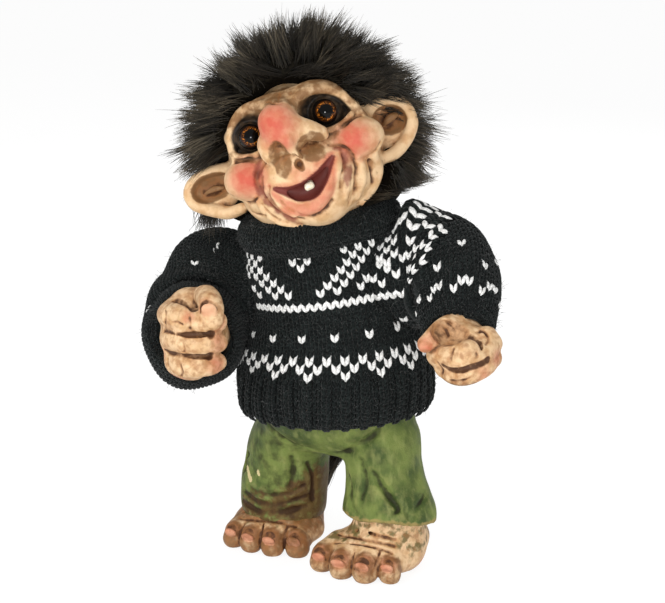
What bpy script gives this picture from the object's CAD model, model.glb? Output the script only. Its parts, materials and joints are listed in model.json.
import json
import math

import bpy
import numpy as np
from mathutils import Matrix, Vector


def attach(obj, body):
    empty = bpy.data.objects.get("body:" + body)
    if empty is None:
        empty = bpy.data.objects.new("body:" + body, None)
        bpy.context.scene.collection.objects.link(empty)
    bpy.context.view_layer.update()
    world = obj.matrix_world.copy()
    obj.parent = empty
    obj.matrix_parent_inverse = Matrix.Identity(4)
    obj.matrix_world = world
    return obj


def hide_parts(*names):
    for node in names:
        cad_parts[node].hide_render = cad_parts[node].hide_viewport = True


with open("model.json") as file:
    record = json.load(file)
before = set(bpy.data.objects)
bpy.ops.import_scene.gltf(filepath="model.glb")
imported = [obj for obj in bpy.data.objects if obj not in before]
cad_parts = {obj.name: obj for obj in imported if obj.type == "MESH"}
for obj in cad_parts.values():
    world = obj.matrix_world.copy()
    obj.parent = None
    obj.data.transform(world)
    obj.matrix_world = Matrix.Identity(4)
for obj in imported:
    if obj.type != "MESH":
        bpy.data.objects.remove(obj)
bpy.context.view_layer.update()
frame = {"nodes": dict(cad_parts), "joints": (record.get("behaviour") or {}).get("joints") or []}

# A troll figure in a knitted sweater. Pieces are modelled in millimetres round the point on the
# ground between its feet, and SHIFT takes them to the frame, whose neck joint is at NECK.
MM = 0.001
NECK = np.array([-9.0, 0.0, 181.0])
NECK_AXIS = np.array([-0.1736, 0.0, 0.9848])
neck_joint = next(joint for joint in frame["joints"] if joint["name"] == "neck_turn")
SHIFT = np.array(neck_joint["pos_m"]) / MM - NECK
SIDES = {"right": -1, "left": 1}


def spin(axis, degrees):
    """Rotation matrix about X, Y or Z."""
    c, s = math.cos(math.radians(degrees)), math.sin(math.radians(degrees))
    i, j = [(1, 2), (2, 0), (0, 1)]["XYZ".index(axis)]
    made = np.eye(3)
    made[i, i], made[i, j], made[j, i], made[j, j] = c, -s, s, c
    return made


# The head has directions of its own: x to its left, y backwards, z up
HEAD_MIDDLE = np.array([-12.6, -6.0, 218.0])
HEAD_SPIN = spin("Z", 13) @ spin("X", -10) @ spin("Y", -20)


def from_head(points):
    return np.asarray(points) @ HEAD_SPIN.T + HEAD_MIDDLE


def to_head(points):
    return (np.asarray(points) - HEAD_MIDDLE) @ HEAD_SPIN


def unit(vectors):
    """Vectors scaled to a length of 1."""
    return vectors / np.linalg.norm(vectors, axis=-1, keepdims=True)


def smooth_step(value, low, high):
    t = np.clip((value - low) / (high - low), 0, 1)
    return t * t * (3 - 2 * t)


def curve(points, steps=6):
    """A smooth line through points of any number of columns."""
    p = np.array(points, float)
    p = np.vstack([2 * p[0] - p[1], p, 2 * p[-1] - p[-2]])
    t = np.linspace(0, 1, steps, endpoint=False)[:, None]
    spans = [
        0.5 * (2 * b + (c - a) * t + (2 * a - 5 * b + 4 * c - d) * t**2 + (3 * b - a - 3 * c + d) * t**3)
        for a, b, c, d in zip(p[:-3], p[1:-2], p[2:-1], p[3:])
    ]
    return np.vstack(spans + [p[-2:-1]])


# Clay: forms are blended on a grid of distances and then skinned

FAR = 30.0
MARGIN = 4.0
# Keep divisions from meeting zero
NUDGE, TINY = 1e-3, 1e-9


def smooth_min(a, b, blend):
    h = np.clip(0.5 + 0.5 * (b - a) / blend, 0, 1)
    return b + (a - b) * h - blend * h * (1 - h)


def egg(middle, radii, axes=None):
    """A rounded lump with three radii, along its own axes if given."""
    m, r = np.array(middle, float), np.array(radii, float)
    own = np.eye(3) if axes is None else axes
    reach = np.sqrt(((own * r) ** 2).sum(1))

    def distance(x, y, z):
        dx, dy, dz = x - m[0] + NUDGE, y - m[1], z - m[2]
        u, v, w = (dx * own[0, i] + dy * own[1, i] + dz * own[2, i] for i in range(3))
        k = np.sqrt((u / r[0]) ** 2 + (v / r[1]) ** 2 + (w / r[2]) ** 2)
        g = np.sqrt((u / r[0] ** 2) ** 2 + (v / r[1] ** 2) ** 2 + (w / r[2] ** 2) ** 2)
        return k * (k - 1) / g

    return distance, m - reach, m + reach


def rope(points, steps=5):
    """A round cord of clay: each point is x, y, z and radius."""
    route = curve(points, steps) if len(points) > 2 else np.array(points, float)
    thick = route[:, 3:]

    def distance(x, y, z):
        best = None
        for a, b in zip(route[:-1], route[1:]):
            ab = b[:3] - a[:3]
            dx, dy, dz = x - a[0], y - a[1], z - a[2]
            t = np.clip((dx * ab[0] + dy * ab[1] + dz * ab[2]) / max(ab @ ab, TINY), 0, 1)
            gap = np.sqrt((dx - t * ab[0]) ** 2 + (dy - t * ab[1]) ** 2 + (dz - t * ab[2]) ** 2)
            gap = gap - (a[3] + t * (b[3] - a[3]))
            best = gap if best is None else np.minimum(best, gap)
        return best

    return distance, (route[:, :3] - thick).min(0), (route[:, :3] + thick).max(0)


def stack(ovals):
    """A stack of level ovals: height, middle x and y, half width and half depth."""
    levels = curve(ovals, 8)
    z_all = levels[:, 0]
    half = levels[:, 3:].max()

    def distance(x, y, z):
        cx, cy, a, b = (np.interp(z, z_all, levels[:, i]) for i in range(1, 5))
        k = np.sqrt(((x - cx) / a) ** 2 + ((y - cy) / b) ** 2)
        side = (k - 1) * np.minimum(a, b)
        return np.maximum(side, np.maximum(z_all[0] - z, z - z_all[-1]))

    low = np.array([levels[:, 1].min() - half, levels[:, 2].min() - half, z_all[0]])
    high = np.array([levels[:, 1].max() + half, levels[:, 2].max() + half, z_all[-1]])
    return distance, low, high


def near(form, points, full, none):
    """1 where points lie within full of a form, falling to 0 at none."""
    return 1 - smooth_step(form[0](*points.T), full, none)


def strongest(layers):
    """The largest of several layers of marks at each point."""
    return np.max(layers, axis=0)


def cloud(shape, cells, seed):
    """Smooth noise on a grid, about -1 to 1, in lumps some cells wide."""
    field = np.random.default_rng(seed).uniform(-1, 1, [int(n / cells) + 5 for n in shape])
    for axis, n in enumerate(shape):
        t = np.arange(n) / cells
        i = t.astype(int)
        f = t - i
        shares = [(1 - f) ** 3, 3 * f**3 - 6 * f**2 + 4, -3 * f**3 + 3 * f**2 + 3 * f + 1, f**3]
        weights = np.zeros((n, field.shape[axis]))
        for k, share in enumerate(shares):
            weights[np.arange(n), i + k] = share / 6
        field = np.moveaxis(np.tensordot(weights, field, (1, axis)), 0, axis)
    return (2 * field).astype(np.float32)


def blurred(field, cells):
    """The mean of a grid over a cube of cells each way."""
    for axis in range(3):
        edges = [(cells + 1, cells) if i == axis else (0, 0) for i in range(3)]
        sums = np.cumsum(np.pad(field, edges, mode="edge"), axis, dtype=np.float64)
        n = field.shape[axis]
        upper = np.take(sums, np.arange(2 * cells + 1, 2 * cells + 1 + n), axis)
        lower = np.take(sums, np.arange(n), axis)
        field = ((upper - lower) / (2 * cells + 1)).astype(np.float32)
    return field


class Clay:
    """A lump of clay: a grid of distances to its skin, less than 0 inside."""

    def __init__(self, low, high, step):
        self.step = step
        self.low = np.array(low, float)
        self.axes = [np.arange(a, b + step, step) for a, b in zip(low, high)]
        self.d = np.full([len(axis) for axis in self.axes], FAR, np.float32)

    def window(self, form, blend):
        """The part of the grid that a form can reach, and its distances there."""
        distance, low, high = form
        spans = []
        for axis, a, b in zip(self.axes, low - blend - MARGIN, high + blend + MARGIN):
            first, last = np.searchsorted(axis, [a, b])
            spans.append(slice(first, last))
        x, y, z = (axis[span].astype(np.float32) for axis, span in zip(self.axes, spans))
        return tuple(spans), distance(x[:, None, None], y[None, :, None], z[None, None, :])

    def add(self, form, blend=2.0):
        part, other = self.window(form, blend)
        self.d[part] = smooth_min(self.d[part], other, blend)

    def cut(self, form, blend=1.0):
        part, other = self.window(form, blend)
        self.d[part] = -smooth_min(-self.d[part], other, blend)

    def carve(self, lines, sink, blend):
        """Cuts a groove along each line of x, z and radius on the front of the clay."""
        for line in lines:
            self.cut(rope(self.on_face(line, sink)), blend)

    def roughen(self, size, depth, seed):
        self.d += depth * cloud(self.d.shape, size / self.step, seed)

    def front(self, x, z):
        """Where the skin is met on the way back from the front at x and z."""
        i, k = (int(round((v - self.low[a]) / self.step)) for v, a in ((x, 0), (z, 2)))
        return self.axes[1][np.argmax(self.d[i, :, k] < 0)]

    def on_face(self, line, sink=0.0):
        """Lays a line of x, z and radius on the front of the clay, sunk by some millimetres."""
        return [(x, self.front(x, z) + sink, z, r) for x, z, r in line]

    def sample(self, field, points):
        """A grid's values at points, blended from the eight corners round each."""
        g = (points - self.low) / self.step
        i = np.clip(g.astype(int), 0, np.array(field.shape) - 2)
        f = g - i
        total = 0
        for dx in (0, 1):
            for dy in (0, 1):
                for dz in (0, 1):
                    share = np.where((dx, dy, dz), f, 1 - f).prod(1)
                    total = total + share * field[i[:, 0] + dx, i[:, 1] + dy, i[:, 2] + dz]
        return total

    def hollows(self, points, reach):
        """How deep points lie in hollows: above 0 in a groove, below 0 on a ridge."""
        soft = blurred(np.clip(self.d, -MARGIN, MARGIN), max(1, int(reach / self.step)))
        return (self.sample(self.d, points) - self.sample(soft, points)) / reach

    def skin(self):
        """Points and four-sided faces of the clay's skin."""
        d = self.d
        inside = d < 0
        n = [s - 1 for s in d.shape]
        corners = [(i, j, k) for i in (0, 1) for j in (0, 1) for k in (0, 1)]
        count = sum(inside[i:i + n[0], j:j + n[1], k:k + n[2]].astype(np.int8) for i, j, k in corners)
        cells = np.argwhere((count > 0) & (count < 8))
        number = np.full(n, -1, np.int64)
        number[tuple(cells.T)] = np.arange(len(cells))
        values = [d[tuple((cells + c).T)] for c in corners]
        total = np.zeros((len(cells), 3))
        hits = np.zeros(len(cells))
        for a, ca in enumerate(corners):
            for b, cb in enumerate(corners):
                if sum(cb) - sum(ca) != 1 or min(np.subtract(cb, ca)) < 0:
                    continue
                crossed = (values[a] < 0) != (values[b] < 0)
                t = np.where(crossed, values[a] / np.where(crossed, values[a] - values[b], 1), 0)
                total += crossed[:, None] * (np.array(ca) + t[:, None] * np.subtract(cb, ca))
                hits += crossed
        points = self.low + self.step * (cells + total / hits[:, None])
        faces = []
        for axis in range(3):
            u, v = (axis + 1) % 3, (axis + 2) % 3
            first = np.moveaxis(inside, axis, 0)[:-1]
            second = np.moveaxis(inside, axis, 0)[1:]
            for start, end, order in ((first, second, 1), (second, first, -1)):
                edge = np.moveaxis(start & ~end, 0, axis)
                at = np.argwhere(edge)
                at = at[(at[:, u] > 0) & (at[:, v] > 0) & (at[:, u] < n[u]) & (at[:, v] < n[v])]
                ring = []
                for du, dv in ((1, 1), (0, 1), (0, 0), (1, 0))[::order]:
                    cell = at.copy()
                    cell[:, u] -= du
                    cell[:, v] -= dv
                    ring.append(number[tuple(cell.T)])
                faces.append(np.stack(ring, 1))
        return points, np.vstack(faces)


def hollow_wash(fine, broad, fine_share, broad_share):
    """Paint that gathers in fine and in broad hollows."""
    return fine_share * np.clip(fine, 0, 1) + broad_share * np.clip(broad, 0, 1)


def pink_spots(points, spots):
    """Blush from spots of middle, full radius, outer radius and strength."""
    blush = np.zeros(len(points))
    for middle, full, none, share in spots:
        away = np.linalg.norm(points - middle, axis=1)
        blush = np.maximum(blush, share * (1 - smooth_step(away, full, none)))
    return blush


# Paint: node materials

def srgb(red, green, blue):
    parts = [v / 255 for v in (red, green, blue)]
    return (*[v / 12.92 if v <= 0.04045 else ((v + 0.055) / 1.055) ** 2.4 for v in parts], 1.0)


def fresh_tree(owner):
    """The emptied node tree of a material or a world."""
    owner.use_nodes = True
    owner.node_tree.nodes.clear()
    return owner.node_tree


class Paint:
    """A node material with a few short-hands; sizes of noise are in millimetres."""

    def __init__(self, name, **sockets):
        self.material = bpy.data.materials.new(name)
        self.tree = fresh_tree(self.material)
        self.shader = self.node("BsdfPrincipled", {k.replace("_", " "): v for k, v in sockets.items()})
        output = self.node("OutputMaterial")
        self.tree.links.new(self.shader.outputs[0], output.inputs[0])
        self.place = self.node("TexCoord").outputs["Object"]

    def node(self, kind, sockets=None, **settings):
        made = self.tree.nodes.new("ShaderNode" + kind)
        for key, value in settings.items():
            setattr(made, key, value)
        for key, value in (sockets or {}).items():
            self.put(made.inputs[key], value)
        return made

    def put(self, socket, value):
        if isinstance(value, bpy.types.NodeSocket):
            self.tree.links.new(value, socket)
        else:
            socket.default_value = value

    def mark(self, name):
        return self.node("Attribute", attribute_name=name).outputs["Fac"]

    def noise(self, size, detail=3.0, stretch=None):
        place = self.place
        if stretch:
            place = self.node("Mapping", {"Vector": place, "Scale": stretch}).outputs[0]
        sockets = {"Vector": place, "Scale": 1000 / size, "Detail": detail}
        return self.node("TexNoise", sockets).outputs["Fac"]

    def spots(self, size):
        return self.node("TexVoronoi", {"Vector": self.place, "Scale": 1000 / size}).outputs["Distance"]

    def range(self, value, low, high, to_low=0.0, to_high=1.0):
        sockets = {"Value": value, "From Min": low, "From Max": high, "To Min": to_low, "To Max": to_high}
        return self.node("MapRange", sockets, interpolation_type="SMOOTHSTEP").outputs[0]

    def math(self, operation, a, b):
        return self.node("Math", {0: a, 1: b}, operation=operation).outputs[0]

    def mix(self, share, a, b):
        return self.node("Mix", {0: share, 6: a, 7: b}, data_type="RGBA").outputs[2]

    def ragged(self, mark, size, detail, reach, high=0.7):
        """A mark made stronger and weaker in blotches, by up to reach."""
        blotches = self.range(self.noise(size, detail), 0.3, high, -reach, reach)
        return self.math("ADD", self.mark(mark), blotches)

    def finish(self, colour, height=None, bump=0.2, roughness=None):
        """Sets the colour, a bump of some millimetres from a height and the roughness."""
        self.put(self.shader.inputs["Base Color"], colour)
        if roughness is not None:
            self.put(self.shader.inputs["Roughness"], roughness)
        if height is not None:
            sockets = {"Height": height, "Distance": bump * MM, "Strength": 1.0}
            self.put(self.shader.inputs["Normal"], self.node("Bump", sockets).outputs[0])
        return self.material


# Colours of the skin, the trousers, the wool, the fur and the eyes
CREAM, PALE_CREAM, PINK = srgb(204, 162, 115), srgb(228, 195, 153), srgb(196, 92, 72)
MOSS, EARTH, TAN, UMBER = srgb(88, 84, 38), srgb(124, 86, 50), srgb(160, 106, 62), srgb(76, 46, 28)
MAROON, MAW, SPECK, NAIL = srgb(126, 62, 50), srgb(116, 54, 46), srgb(96, 62, 36), srgb(216, 156, 124)
SOCKET_BLACK, SOCKET_BROWN = srgb(30, 24, 19), srgb(62, 48, 34)
GREEN, PALE_GREEN, BRUSHED_GREEN = srgb(64, 80, 38), srgb(114, 128, 66), srgb(150, 156, 94)
FOLD_GREEN, MUD, DEEP_MUD = srgb(38, 38, 20), srgb(96, 70, 40), srgb(56, 36, 20)
RIDGE_GREEN, RIM_TAN, SCUFF = srgb(164, 158, 98), srgb(158, 136, 84), srgb(206, 190, 140)
DARK_WOOL, GREY_WOOL, SHADED_WOOL = srgb(8, 11, 11), srgb(36, 42, 41), srgb(12, 15, 15)
WHITE_WOOL, BRIGHT_WOOL = srgb(212, 211, 208), srgb(248, 248, 246)
DARK_FUR, BROWN_FUR, FUR_TIP = srgb(12, 11, 9), srgb(52, 47, 37), srgb(128, 116, 96)
DARK_AMBER, AMBER, AMBER_EDGE = srgb(44, 22, 7), srgb(206, 122, 36), srgb(52, 24, 8)
PUPIL, EYE_EDGE = srgb(4, 4, 4), srgb(16, 12, 10)


def skin_paint():
    """Cream casting paint with a brown wash in the hollows and a pink blush."""
    p = Paint("skin", Specular_IOR_Level=0.3)
    mottle = p.noise(6, 5)
    grain = p.noise(0.9, 3)
    colour = p.mix(p.range(mottle, 0.3, 0.62), CREAM, PALE_CREAM)
    blush = p.math("ADD", p.mark("blush"), p.range(p.noise(4, 4), 0.3, 0.7, -0.12, 0.08))
    colour = p.mix(blush, colour, PINK)
    colour = p.mix(p.range(p.ragged("moss", 5, 5, 0.4), 0.35, 0.8, 0, 0.85), colour, MOSS)
    colour = p.mix(p.range(p.ragged("earth", 4, 5, 0.25), 0.2, 0.9, 0, 0.9), colour, EARTH)
    wash = p.ragged("wash", 3.2, 5, 0.25, 0.75)
    colour = p.mix(p.range(wash, 0.08, 0.5, 0, 0.6), colour, TAN)
    colour = p.mix(p.range(wash, 0.38, 1.0, 0, 0.95), colour, UMBER)
    colour = p.mix(p.range(p.ragged("maroon", 4.5, 4, 0.3), 0.15, 1.0, 0, 0.8), colour, MAROON)
    colour = p.mix(p.mark("maw"), colour, MAW)
    specks = p.math("MULTIPLY", p.range(p.spots(4.5), 0.0, 0.13, 1, 0), p.range(p.noise(9), 0.52, 0.62))
    colour = p.mix(p.math("MULTIPLY", specks, 0.6), colour, SPECK)
    colour = p.mix(p.mark("nail"), colour, NAIL)
    socket = p.mix(p.range(p.noise(3), 0.4, 0.65), SOCKET_BLACK, SOCKET_BROWN)
    colour = p.mix(p.mark("dark"), colour, socket)
    height = p.math("ADD", p.math("MULTIPLY", grain, 0.5), p.noise(3, 3))
    return p.finish(colour, height, 0.25, p.range(mottle, 0.3, 0.7, 0.5, 0.64))


def trouser_paint():
    """Mossy green casting paint with brown in the folds and pale scuffs on the ridges."""
    p = Paint("trousers", Specular_IOR_Level=0.2)
    brush = p.noise(4, 5, (1, 1, 0.35))
    mottle = p.noise(17, 4)
    colour = p.mix(p.range(mottle, 0.35, 0.65), GREEN, PALE_GREEN)
    colour = p.mix(p.range(brush, 0.48, 0.72, 0, 0.42), colour, BRUSHED_GREEN)
    wash = p.ragged("wash", 6, 5, 0.3, 0.75)
    colour = p.mix(p.range(wash, 0.1, 0.85, 0, 0.9), colour, FOLD_GREEN)
    colour = p.mix(p.range(p.ragged("earth", 5, 5, 0.35), 0.3, 0.9, 0, 0.9), colour, MUD)
    deep = p.math("MULTIPLY", p.mark("earth"), p.range(wash, 0.25, 0.8))
    colour = p.mix(deep, colour, DEEP_MUD)
    ridge = p.math("MULTIPLY", p.mark("ridge"), p.range(p.noise(4, 5), 0.45, 0.6))
    colour = p.mix(p.math("MULTIPLY", ridge, 0.8), colour, RIDGE_GREEN)
    colour = p.mix(p.range(p.ragged("rim", 4, 4, 0.3), 0.4, 0.9, 0, 0.75), colour, RIM_TAN)
    colour = p.mix(p.range(p.ragged("scuff", 1.6, 4, 0.3), 0.45, 0.6), colour, SCUFF)
    height = p.math("ADD", brush, p.noise(0.9))
    return p.finish(colour, height, 0.35, p.range(mottle, 0.3, 0.7, 0.5, 0.68))


def wool_paint():
    """Heathered charcoal wool with white stitches."""
    p = Paint("wool", Roughness=0.95, Sheen_Weight=0.08, Sheen_Roughness=0.5, Specular_IOR_Level=0.1)
    heather = p.noise(0.9, 4)
    patches = p.noise(8, 3)
    colour = p.mix(p.range(heather, 0.36, 0.7), DARK_WOOL, GREY_WOOL)
    colour = p.mix(p.range(patches, 0.4, 0.7, 0, 0.45), colour, SHADED_WOOL)
    white = p.mix(p.range(heather, 0.35, 0.6), WHITE_WOOL, BRIGHT_WOOL)
    colour = p.mix(p.mark("white"), colour, white)
    turns = p.math("MULTIPLY", p.mark("twist"), 6.2832)
    twist = p.node("Math", {0: turns}, operation="SINE").outputs[0]
    height = p.math("ADD", p.math("MULTIPLY", twist, 0.35), p.noise(0.5, 4))
    return p.finish(colour, height, 0.3)


def fur_paint():
    """Near-black brown fur with lighter tips."""
    p = Paint("fur", Roughness=0.45, Specular_IOR_Level=0.35)
    tone = p.mark("tone")
    tip = p.math("MULTIPLY", p.range(p.mark("along"), 0.25, 1.0), p.range(tone, 0.4, 1.0, 0.08, 0.8))
    colour = p.mix(tip, p.mix(tone, DARK_FUR, BROWN_FUR), FUR_TIP)
    return p.finish(colour, p.noise(0.4, 2, (1, 1, 0.2)), 0.05)


def eye_paint():
    """Amber glass with a black pupil; ring runs from 0 at the pupil's middle."""
    p = Paint("eye", Roughness=0.06, Specular_IOR_Level=0.2)
    ring = p.mark("ring")
    amber = p.mix(p.range(p.noise(0.8, 3), 0.46, 0.68), DARK_AMBER, AMBER)
    amber = p.mix(p.range(ring, 0.38, 0.5), amber, AMBER_EDGE)
    colour = p.mix(p.range(ring, 0.29, 0.37), PUPIL, amber)
    return p.finish(p.mix(p.range(ring, 0.48, 0.56), colour, EYE_EDGE))


def plain_paint(name, low, high, size, stretch=None, **sockets):
    """A material of two near colours in a grain of some millimetres."""
    p = Paint(name, **sockets)
    grain = p.noise(size, 4, stretch)
    return p.finish(p.mix(p.range(grain, 0.3, 0.7), srgb(*low), srgb(*high)), grain, 0.1)


SKIN = skin_paint()
TROUSERS = trouser_paint()
WOOL = wool_paint()
FUR = fur_paint()
PELT = plain_paint("pelt", (8, 7, 6), (30, 27, 21), 1.6, Roughness=0.95, Specular_IOR_Level=0.05)
EYE = eye_paint()
TOOTH = plain_paint("tooth", (222, 208, 176), (244, 236, 214), 2.5, Roughness=0.3)
TAIL_SKIN = plain_paint("tail_skin", (58, 44, 30), (112, 88, 58), 3.0, Roughness=0.65)


# Meshes

def piece(name, points, faces, paint, body, slot, marks=None, replaces=()):
    """A mesh object from points in millimetres, riding on a body."""
    mesh = bpy.data.meshes.new(name)
    mesh.from_pydata(((points + SHIFT) * MM).tolist(), [], [list(map(int, face)) for face in faces])
    for mark, values in (marks or {}).items():
        layer = mesh.attributes.new(mark, "FLOAT", "POINT")
        layer.data.foreach_set("value", np.asarray(values, np.float32))
    mesh.polygons.foreach_set("use_smooth", np.ones(len(mesh.polygons), bool))
    mesh.materials.append(paint)
    made = bpy.data.objects.new(name, mesh)
    bpy.context.scene.collection.objects.link(made)
    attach(made, body)
    if replaces:
        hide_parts(*replaces)
    return made


def tube_faces(rings, columns, caps=True):
    """Faces of a tube of rings. With caps it is closed, and its two end points follow the rings."""
    i, j = np.meshgrid(np.arange(rings - 1), np.arange(columns), indexing="ij")
    k = (j + 1) % columns
    quads = np.stack([i * columns + j, i * columns + k, (i + 1) * columns + k, (i + 1) * columns + j], -1)
    quads = quads.reshape(-1, 4)
    if not caps:
        return quads
    j = np.arange(columns)
    k = (j + 1) % columns
    top = rings * columns
    last = (rings - 1) * columns
    start = np.stack([np.full(columns, top), k, j], 1)
    end = np.stack([np.full(columns, top + 1), last + j, last + k], 1)
    return [*quads, *start, *end]


def face_places(points, faces):
    """The middle of each four-sided face, and a vector out of it as long as twice its area."""
    p = points[np.asarray(faces)]
    return p.mean(1), np.cross(p[:, 2] - p[:, 0], p[:, 3] - p[:, 1])


# Head

EYES = {"right": (-19.4, -29.5, 17.0), "left": (20.3, -29.5, 17.0)}
EYE_RADIUS = 7.0
EYE_RINGS, EYE_COLUMNS = 48, 64
# The front of a glass eye stands this far out, within this angle
EYE_BULGE, BULGE_ANGLE = 0.5, 0.7
GAZE = np.array([0.196, -0.981, 0.0])
# How far the dark of the sockets spreads across, in and up
SOCKET_SPREAD = (1.15, 1.2, 1.0)
NECK_RADIUS = 21.0
BROW = egg((2, -31, 29), (35, 15, 10))
# Ropes of clay: x, y, z and radius
BROW_ROLL = [(-30, -19, 20, 5), (-13, -29, 28, 6), (4, -31, 28, 6), (20, -29, 28, 6), (32, -20, 19, 5)]
EYE_ARCHES = [
    [(1, -36, 24, 3.2), (-6, -37, 29, 2.8), (-13.5, -35, 31, 2.7), (-21, -31.5, 29.4, 2.7),
     (-27.6, -28.4, 23.6, 2.7), (-31, -27, 15.5, 2.6), (-31, -27, 8, 2.2)],
    [(3, -36, 23, 3.2), (8, -37, 26.6, 2.6), (15, -35.6, 29.2, 2.6), (23, -32.6, 28, 2.6),
     (30, -28.6, 22.6, 2.6), (34, -25.6, 15.6, 2.6), (36.5, -23, 9.5, 2.3)],
]
EAR_RIMS = {
    "right": [(-37, -6, 6.5, 3.0), (-46, -3.4, 7.6, 3.2), (-55, -3, 7.6, 3.3), (-62.5, -2.4, 4.6, 3.4),
              (-65.2, -2.4, -0.4, 3.4), (-63, -2.8, -6, 3.5), (-56, -3.6, -11, 3.5), (-47.5, -5, -15, 3.4),
              (-40, -8, -15, 3.0)],
    "left": [(31, -8, 10, 3.0), (41, -4, 13.2, 3.2), (50.5, -3, 13.2, 3.3), (56.4, -2.4, 7.4, 3.4),
             (56.6, -2.4, -0.6, 3.4), (51.5, -3, -8, 3.5), (44, -4.4, -12.6, 3.4), (36.5, -7, -13.6, 3.0)],
}
EAR_RIDGES = {
    "right": [(-47.5, -1.4, -1.6, 1.1), (-52, -2.0, -0.8, 1.8), (-57, -1.6, -1.6, 1.0)],
    "left": [(43, -1.4, 3.0, 1.1), (47, -2.2, 5.0, 2.0), (50.5, -1.6, 5.2, 1.1)],
}
EAR_HOLLOWS = {
    "right": egg((-51.5, -6.5, -0.4), (11.4, 7, 7.0)),
    "left": egg((46.5, -6.5, 3.6), (8.4, 7, 7.6)),
}
NOSTRILS = [
    egg((11.6, -52.0, 0.6), (7.6, 8.0, 5.6), spin("Y", 28)),
    egg((-5.6, -53.0, 1.0), (4.4, 8.6, 8.6), spin("Y", 12)),
]
NOSE_UNDERSIDES = [
    egg((11.6, -47, 1.6), (7.6, 9, 7.2), spin("Y", 28)),
    egg((-6.0, -47, 1.0), (4.8, 9, 9.8), spin("Y", 12)),
]
TOOTH_ROPES = [
    ([(1.7, -40.0, -16.2, 1.6), (3.7, -40.0, -16.0, 1.6)], 2.0),
    ([(1.7, -39.6, -15.2, 1.4), (3.7, -39.6, -15.0, 1.4)], 0.6),
    ([(2.7, -33.0, -13.0, 1.3), (2.7, -38.6, -15.4, 1.4)], 0.6),
]
# Lines on the face: x, z and radius
PHILTRUM = [(1.8, 0.6, 0.9), (1.8, -3.4, 2.0), (2.6, -6.2, 1.5)]
MOUTH_LINE = [
    (-14.2, -11.6, 0.7), (-9.0, -15.0, 2.2), (-3.0, -17.6, 4.2), (3.6, -17.2, 4.8), (10.2, -13.4, 3.4),
    (14.8, -9.2, 2.0), (18.2, -5.8, 0.8),
]
UPPER_LIP = [
    (-16.0, -9.0, 1.1), (-8.0, -12.0, 1.5), (-0.4, -12.2, 1.7), (8.0, -9.8, 1.6), (15.0, -5.4, 1.4),
    (19.6, -4.2, 1.0),
]
LOWER_LIP = [
    (-14.8, -13.6, 1.4), (-13.2, -17.4, 1.9), (-9.6, -22.4, 2.7), (-3.8, -26.0, 3.2), (3.4, -25.6, 3.4),
    (10.4, -20.4, 3.0), (15.6, -13.2, 2.3), (19.2, -7.2, 1.5),
]
# Rolls and grooves round the mouth, the jowls, the eyes and the chin
ROLLS = [
    [(-25.5, -13.0, 2.0), (-23.6, -20.0, 2.8), (-18.6, -26.8, 3.0), (-10.0, -31.8, 2.6)],
    [(-17.0, -14.6, 1.8), (-13.8, -20.8, 2.5), (-9.0, -26.2, 2.2)],
    [(20.8, -3.6, 1.6), (19.2, -11.0, 2.2), (16.2, -18.0, 2.4), (13.0, -24.6, 2.0)],
    [(22.0, -13.6, 1.8), (21.0, -19.6, 2.7), (17.0, -26.0, 2.2)],
    [(29.0, -9.6, 1.8), (28.6, -16.0, 2.3), (26.0, -22.6, 2.2), (21.5, -28.0, 1.8)],
    [(36.0, -10.0, 2.2), (34.6, -18.0, 2.8), (30.0, -25.0, 2.8), (22.0, -31.0, 2.4)],
]
GROOVES = [
    [(-15.4, 2.6, 0.8), (-20.2, -0.8, 1.1), (-22.4, -5.4, 1.3), (-22.0, -11.0, 1.4), (-20.6, -16.6, 1.4),
     (-17.6, -22.6, 1.3), (-12.6, -27.6, 1.2), (-6.0, -30.4, 0.8)],
    [(-16.6, -9.6, 0.8), (-18.4, -13.0, 1.1), (-18.0, -17.6, 1.1), (-15.6, -22.4, 0.9)],
    [(-13.4, -17.6, 0.7), (-11.2, -22.4, 0.9), (-7.4, -27.4, 1.0), (-2.0, -30.2, 1.0), (4.6, -29.9, 1.0),
     (10.8, -26.0, 0.8)],
    [(18.4, 0.6, 0.6), (22.6, -1.0, 0.8), (26.2, -4.8, 0.9), (27.0, -12.6, 1.1), (24.8, -19.6, 1.1),
     (22.0, -25.4, 0.9), (17.6, -30.0, 0.6)],
    [(22.6, -5.6, 0.5), (22.6, -10.0, 0.9), (19.8, -15.6, 0.8), (16.8, -21.4, 0.6)],
    [(-19.2, -4.0, 0.4), (-20.4, -9.0, 0.7), (-20.4, -14.0, 0.6)],
    [(-24.0, -17.0, 0.5), (-21.6, -23.4, 0.9), (-16.4, -29.0, 0.9), (-9.0, -33.0, 0.6)],
    [(23.6, -17.6, 0.5), (22.0, -23.0, 0.7), (18.6, -27.4, 0.5)],
    [(32.8, -12.6, 0.9), (32.6, -17.0, 1.7), (30.4, -23.4, 0.9)],
    [(-38.0, -8.4, 0.7), (-34.0, -12.8, 0.9), (-29.0, -14.6, 0.9), (-24.6, -12.6, 0.7)],
    [(-33.0, -18.6, 0.5), (-29.0, -21.4, 0.8), (-24.0, -23.0, 0.6)],
    [(42.0, -6.0, 1.0), (37.0, -10.4, 1.1), (29.6, -11.4, 0.8)],
    [(-31.0, 7.6, 1.2), (-22.0, 6.8, 1.1), (-15.6, 6.4, 0.9)],
    [(20.6, 6.8, 0.8), (28.0, 7.6, 1.0), (36.0, 10.0, 1.0)],
    [(-4.0, 30.4, 0.7), (1.6, 27.4, 0.9), (2.0, 33.0, 0.6)],
]
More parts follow.
